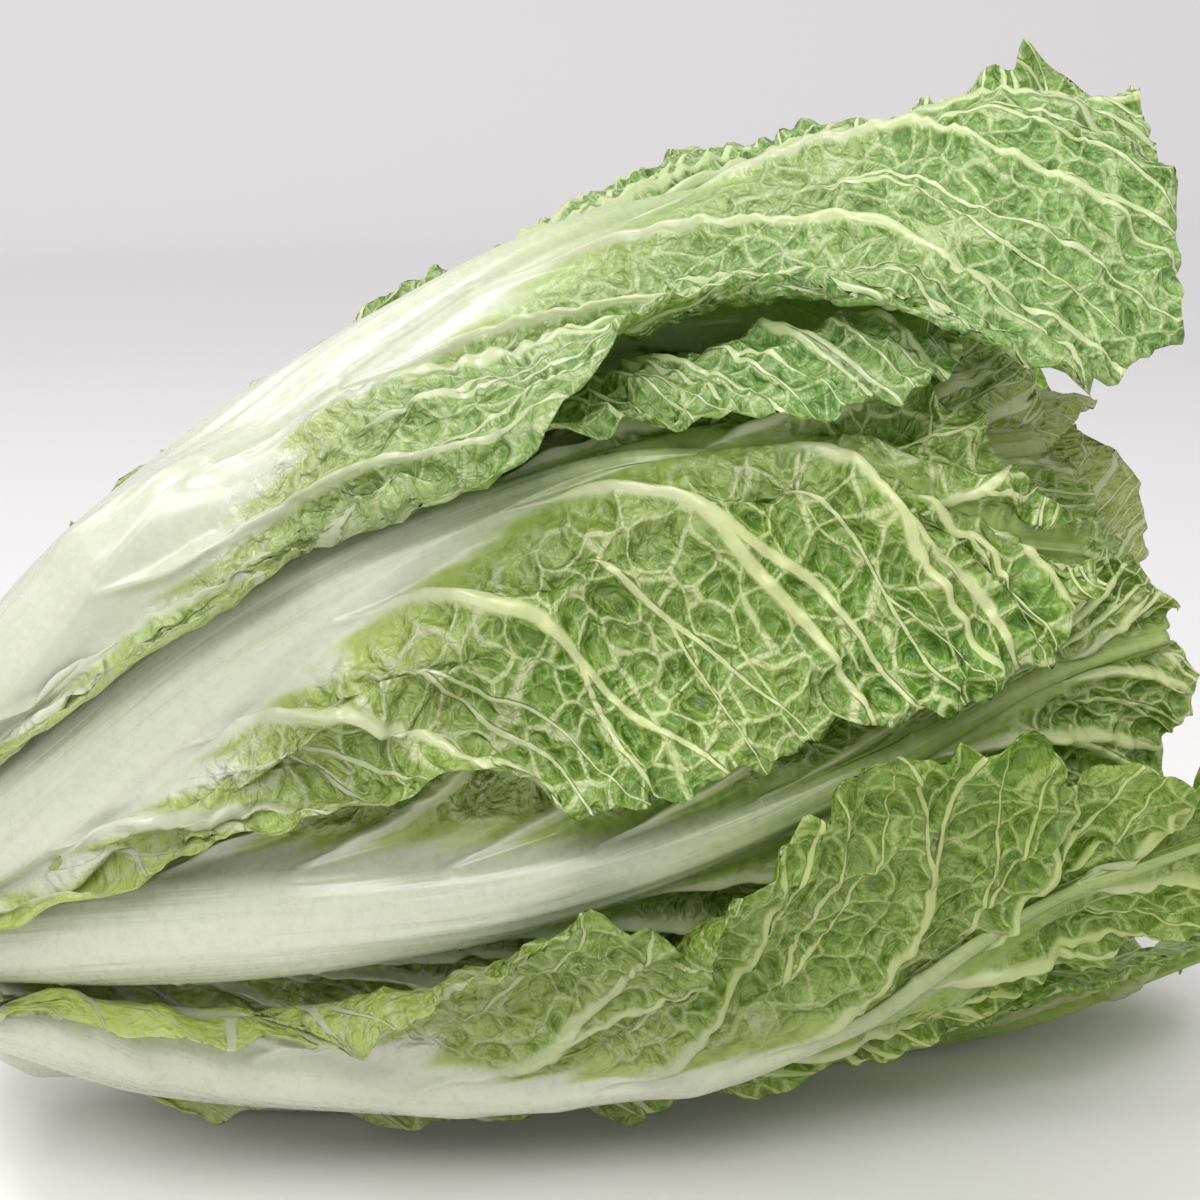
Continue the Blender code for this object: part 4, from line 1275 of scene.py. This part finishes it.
@dataclass
class RaisedNet:
    """The net of small veins, raised by Geometry Nodes from a leaf's surface along its outward field."""

    cell: float = 0.0075
    ridge: float = 0.0003  # how far the net stands out
    hollow: float = 0.0015  # how far the cells sink

    def __post_init__(self) -> None:
        """Builds the node tree once, for all the leaves."""
        tree = bpy.data.node_groups.new("Raised net", "GeometryNodeTree")
        self.tree = tree
        for label, kind in (
            ("Leaf", "Geometry"), ("Cell size", "Float"), ("Ridge height", "Float"),
            ("Hollow depth", "Float"), ("Finish", "Material"),
        ):
            tree.interface.new_socket(label, in_out="INPUT", socket_type="NodeSocket" + kind)
        tree.interface.new_socket("Leaf", in_out="OUTPUT", socket_type="NodeSocketGeometry")
        given = tree.nodes.new("NodeGroupInput").outputs
        at = {key: given[key] for key in ("Cell size", "Ridge height", "Hollow depth")}
        for key, kind in (("leaf_plane", "FLOAT_VECTOR"), ("outward", "FLOAT_VECTOR"), ("net", "FLOAT")):
            at[key] = add_node(
                tree, "GeometryNodeInputNamedAttribute", {"Name": key}, data_type=kind
            ).outputs["Attribute"]
        scale = add_node(tree, "ShaderNodeMath", {0: 1.0, 1: at["Cell size"]}, operation="DIVIDE").outputs[0]
        edge = add_node(
            tree, "ShaderNodeTexVoronoi", {"Vector": at["leaf_plane"], "Scale": scale},
            feature="DISTANCE_TO_EDGE",
        ).outputs["Distance"]
        for name, low, high, first, last in (("crest", 0.02, 0.22, 1.0, 0.0), ("pit", 0.0, 0.45, 0.0, 1.0)):
            at[name] = add_node(
                tree, "ShaderNodeMapRange",
                {"Value": edge, "From Min": low, "From Max": high, "To Min": first, "To Max": last},
                interpolation_type="SMOOTHSTEP",
            ).outputs["Result"]
        for name, operation, first, second in (
            ("rise", "MULTIPLY", "crest", "Ridge height"), ("fall", "MULTIPLY", "pit", "Hollow depth"),
            ("height", "SUBTRACT", "rise", "fall"), ("height", "MULTIPLY", "height", "net"),
        ):
            inputs = {0: at[first], 1: at[second]}
            at[name] = add_node(tree, "ShaderNodeMath", inputs, operation=operation).outputs[0]
        offset = add_node(
            tree, "ShaderNodeVectorMath", {0: at["outward"], "Scale": at["height"]}, operation="SCALE"
        ).outputs["Vector"]
        raised = add_node(
            tree, "GeometryNodeSetPosition", {"Geometry": given["Leaf"], "Offset": offset}
        ).outputs["Geometry"]
        real = add_node(tree, "GeometryNodeRealizeInstances", {"Geometry": raised}).outputs["Geometry"]
        done = add_node(
            tree, "GeometryNodeSetMaterial", {"Geometry": real, "Material": given["Finish"]}
        ).outputs["Geometry"]
        add_node(tree, "NodeGroupOutput", {"Leaf": done})

    def raise_on(self, leaf: bpy.types.Object, finish: bpy.types.Material) -> None:
        """Raises the net on a leaf and applies it.

        Args:
            leaf: The leaf's object.
            finish: The leaf's material.
        """
        modifier = leaf.modifiers.new("Raised net", "NODES")
        modifier.node_group = self.tree
        values = {
            "Cell size": self.cell, "Ridge height": self.ridge, "Hollow depth": self.hollow, "Finish": finish,
        }
        for item in self.tree.interface.items_tree:
            if item.in_out == "INPUT" and item.name in values:
                modifier[item.identifier] = values[item.name]
        graph = bpy.context.evaluated_depsgraph_get()
        made = bpy.data.meshes.new_from_object(leaf.evaluated_get(graph))
        leaf.modifiers.clear()
        old, leaf.data = leaf.data, made
        bpy.data.meshes.remove(old)


@dataclass
class Core:
    """The cut stem and the heart, both turned about the head's axis."""

    head: Head
    finishes: Finishes
    stem: Points = (
        (-0.003, 0.0215), (0.000, 0.0228), (0.006, 0.0225), (0.025, 0.0180), (0.050, 0.0130),
        (0.072, 0.0070),
    )
    heart: Points = (
        (0.078, 0.006), (0.095, 0.016), (0.120, 0.024), (0.160, 0.027), (0.200, 0.024), (0.225, 0.016),
        (0.240, 0.006),
    )
    folds: int = 4
    fold_depth: float = 0.20  # as a share of the radius
    fold_lean: float = 9.0  # folds that a fold shifts by, for each metre of distance
    fold_edge: float = 0.04  # share of a fold that its edge takes
    ring_pitch: float = 22.0  # radians of the rings' wave from the centre to the rim
    columns: int = 96

    def turned(self, profile: Points, rows: int, columns: int) -> tuple[Array, Array, Array]:
        """Lays a lattice on a turned shape.

        Args:
            profile: Radius over distance.
            rows: Rows along the axis.
            columns: Columns round it.

        Returns:
            Distance, turn and radius.
        """
        s = np.linspace(profile[0][0], profile[-1][0], rows)
        s, turn = np.meshgrid(s, np.linspace(0, 360, columns, endpoint=False), indexing="ij")
        return s, turn, curve(profile, s)

    def closed(self, name: str, points: Array, first: Array, last: Array) -> bpy.types.Object:
        """Closes rings of points with a pole at each end.

        Args:
            name: Name of the piece.
            points: Rings of world points.
            first: World point that closes the first ring.
            last: World point that closes the last ring.

        Returns:
            The object, in the scene.
        """
        rows, columns = points.shape[:2]
        grid = np.arange(rows * columns).reshape(rows, columns)
        after = np.roll(grid, -1, axis=1)
        quads = np.stack([grid[:-1], grid[1:], after[1:], after[:-1]], -1).reshape(-1, 4)
        low, high = np.full(columns, rows * columns), np.full(columns, rows * columns + 1)
        ends = ((low, grid[0], after[0]), (high, after[-1], grid[-1]))
        caps = np.concatenate([np.stack(corners, -1) for corners in ends])
        mesh = MeshMaker.mesh(name, np.concatenate([points.reshape(-1, 3), [first, last]]), (quads, caps))
        return MeshMaker.piece(name, mesh)

    def build_stem(self) -> None:
        """Builds the stem, its cut face marked by the leaf bases' dried rings."""
        rings = np.linspace(0.02, 1.0, 14)
        turn = np.linspace(0, 360, self.columns, endpoint=False)
        share, face_turn = np.meshgrid(rings, turn, indexing="ij")
        end, rim = self.stem[0]
        uneven = ripple(share * 0.02, np.cos(np.radians(face_turn)) * 0.02, 0.012, 5)
        radius = rim * share * (1 + 0.02 * uneven)
        ringed = np.sin(share * self.ring_pitch)
        dish = end + 0.0004 * ringed - 0.0006 * (1 - share) + 0.0006 * share**8
        s, side_turn, side = (part[1:] for part in self.turned(self.stem, 40, self.columns))
        place = self.head.place
        points = np.concatenate([place(dish, face_turn, radius), place(s, side_turn, side)])
        butt, axis = np.array(self.head.butt), self.head.axis
        centre, root = butt + (end - 0.0006) * axis, butt + (self.stem[-1][0] + 0.002) * axis
        obj = self.closed("stem_skin", points, centre, root)
        dry = np.concatenate([share**6 + 0.25 * (ringed > 0.5), np.exp(-(s + 0.003) / 0.006)]).ravel()
        obj.data.attributes.new("dry", "FLOAT", "POINT").data.foreach_set(
            "value", np.append(dry, [0.1, 0.0]).astype(np.float32)
        )
        obj.data.materials.append(self.finishes.stem)
        MeshMaker.dress(obj, "cut_stem", "stem_white")

    def build_heart(self) -> None:
        """Builds the heart, its leaves folded over one another in one body."""
        s, turn, radius = self.turned(self.heart, 90, 220)
        fold = (turn / 360 * self.folds + (s - self.heart[0][0]) * self.fold_lean) % 1.0
        edge = np.where(fold > 1 - self.fold_edge, (1 - fold) / self.fold_edge, 1.0)
        wave = 0.0005 * ripple(s, np.cos(np.radians(turn)) * 0.02, 0.008, 77)
        wave = wave * np.minimum((self.heart[-1][0] - s) / 0.02, 1)
        radius = radius * (1 - self.fold_depth * fold * edge) + wave
        butt, axis = np.array(self.head.butt), self.head.axis
        obj = self.closed(
            "heart_folds", self.head.place(s, turn, radius),
            butt + (self.heart[0][0] - 0.003) * axis, butt + (self.heart[-1][0] + 0.004) * axis,
        )
        flat, count = s.ravel(), s.size + 2
        part = np.append((flat - flat.min()) / np.ptp(flat), [0.0, 1.0])
        strand = np.append((turn * 0.0004).ravel(), [0.0, 0.0])
        plane = np.stack([np.append(flat, [flat.min(), flat.max()]), strand, np.zeros(count)], -1)
        fields = {
            "vein_count": np.full(count, 0.5), "fork": np.zeros(count), "vein_width": np.zeros(count),
            "vein_spacing": np.full(count, 6.0), "green": 0.3 * part, "white": 0.6 * (1 - part),
            "net": np.full(count, 0.35), "across": strand,
        }
        for key, values in fields.items():
            layer = obj.data.attributes.new(key, "FLOAT", "POINT")
            layer.data.foreach_set("value", values.astype(np.float32))
        obj.data.attributes.new("leaf_plane", "FLOAT_VECTOR", "POINT").data.foreach_set(
            "vector", plane.astype(np.float32).ravel()
        )
        obj.data.materials.append(self.finishes.leaf[Tone.HEART])
        MeshMaker.dress(obj, "heart", "heart_yellow")

    def cover(self, envelope: Envelope) -> None:
        """Adds both to the surface that the leaves drape over."""
        for profile in (self.stem, self.heart):
            envelope.cover(self.head.place(*self.turned(profile, 60, 120)))


@dataclass
class Leaves:
    """All the leaves of the head, laid on from the inside out."""

    head: Head
    finishes: Finishes
    net: RaisedNet

    def build(self, envelope: Envelope) -> None:
        """Builds and dresses every leaf.

        Args:
            envelope: Surface of what is already placed.
        """
        for form in Whorls(self.head).inside_out():
            shell = LeafShape(self.head, form).shell(envelope)
            name = form.name.replace("leaf", "blade")
            obj = MeshMaker.piece(name, MeshMaker.shell_mesh(name, shell))
            self.net.raise_on(obj, self.finishes.leaf[form.tone])
            obj.data.name = name
            MeshMaker.dress(obj, form.name, form.slot)
            LOG.info("%s: %d faces", obj.name, len(obj.data.polygons))


@dataclass
class Studio:
    """Camera, pale floor painted lighter round the head and up the wall as painted light, and soft light from
    above and behind.
    """

    azimuth: float = -14.0
    elevation: float = 13.0
    distance: float = 0.60
    target: tuple[float, float, float] = (0.0, 0.0, 0.107)
    lens: float = 85.0
    floor_size: float = 5.0
    wall_distance: float = 1.7
    wall_height: float = 2.5
    bend: float = 0.35
    lamps: tuple[tuple[str, tuple[float, float, float], float, float, str], ...] = (
        ("window from behind", (-0.60, 0.75, 1.15), 0.5, 3.0, "#FFFDF8"),
        ("sky above", (-0.35, -0.10, 1.35), 0.4, 6.0, "#FFFFFF"),
        ("lamp above the camera", (-0.45, -1.05, 1.20), 0.9, 12.5, "#FFFFFF"),
    )
    room: str = "#F4F3F2"
    room_strength: float = 0.76

    def build(self) -> None:
        """Builds the camera, the stage and the lights."""
        a, e = math.radians(self.azimuth), math.radians(self.elevation)
        back = Vector((math.sin(a) * math.cos(e), -math.cos(a) * math.cos(e), math.sin(e)))
        camera = bpy.data.objects.new("camera", bpy.data.cameras.new("camera"))
        camera.location = Vector(self.target) + self.distance * back
        camera.rotation_euler = (-back).to_track_quat("-Z", "Y").to_euler()
        camera.data.lens = self.lens
        camera.data.sensor_width = 36.0
        camera.data.clip_start = 0.01
        bpy.context.collection.objects.link(camera)
        bpy.context.scene.camera = camera
        bpy.context.scene.view_settings.view_transform = "Standard"
        self.stage()
        target = Vector(self.target)
        for name, place, size, power, color in self.lamps:
            light = bpy.data.lights.new(name, "AREA")
            light.size, light.energy, light.color = size, power, linear(color)[:3]
            lamp = bpy.data.objects.new(name, light)
            lamp.location = place
            lamp.rotation_euler = (target - Vector(place)).to_track_quat("-Z", "Y").to_euler()
            bpy.context.collection.objects.link(lamp)
        world = bpy.data.worlds.new("soft room")
        world.use_nodes = True
        background = world.node_tree.nodes["Background"].inputs
        background["Color"].default_value = linear(self.room)
        background["Strength"].default_value = self.room_strength
        bpy.context.scene.world = world

    def stage(self) -> None:
        """Builds the floor, which bends up into a wall behind the head."""
        half = self.floor_size / 2
        angles = np.linspace(0, math.pi / 2, 24)
        profile = [(-half, 0.0)] + [
            (self.wall_distance + self.bend * math.sin(t), self.bend * (1 - math.cos(t))) for t in angles
        ] + [(self.wall_distance + self.bend, self.wall_height)]
        points = np.array([[(x, y, z) for x in (-half, half)] for y, z in profile])
        grid = np.arange(points.shape[0] * 2).reshape(-1, 2)
        quads = np.stack([grid[:-1, 0], grid[:-1, 1], grid[1:, 1], grid[1:, 0]], -1)
        obj = MeshMaker.piece("pale_floor", MeshMaker.mesh("pale_floor", points.reshape(-1, 3), (quads,)))
        # Uncoated paper scatters light evenly, so the eye sees a soft shadow and no reflection.
        material = bpy.data.materials.new("matt paper, pale")
        material.use_nodes = True
        tree = material.node_tree
        shader = tree.nodes["Principled BSDF"]
        shader.inputs["Roughness"].default_value = 0.85
        # Painted light: the paper is lighter within 0.16 m of the head and fades darker by 0.42 m, which lifts
        # the shadow under the head. It turns lighter again from 1.2 to 1.8 m, up the wall.
        position = add_node(tree, "ShaderNodeTexCoord").outputs["Object"]
        away = add_node(tree, "ShaderNodeVectorMath", {0: position}, operation="LENGTH").outputs["Value"]
        painted_light_shares = [
            add_node(
                tree, "ShaderNodeMapRange", {"Value": away, "From Min": low, "From Max": high}
            ).outputs["Result"]
            for low, high in ((0.16, 0.42), (1.2, 1.8))
        ]
        color = LeafFinish.blend(tree, linear("#F4F1F2"), linear("#E4E2E4"), painted_light_shares[0])
        color = LeafFinish.blend(tree, color, linear("#EEECEE"), painted_light_shares[1])
        tree.links.new(color, shader.inputs["Base Color"])
        obj.data.materials.append(material)


def main() -> None:
    """Builds the cabbage and its studio."""
    logging.basicConfig(level=logging.INFO, format="%(message)s")
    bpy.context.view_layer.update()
    head = Head()
    Studio().build()
    finishes = Finishes()
    core = Core(head, finishes)
    core.build_stem()
    core.build_heart()
    LOG.info("stem and heart: built")
    envelope = Envelope(head)
    core.cover(envelope)
    Leaves(head, finishes, RaisedNet()).build(envelope)


if __name__ == "__main__":
    main()
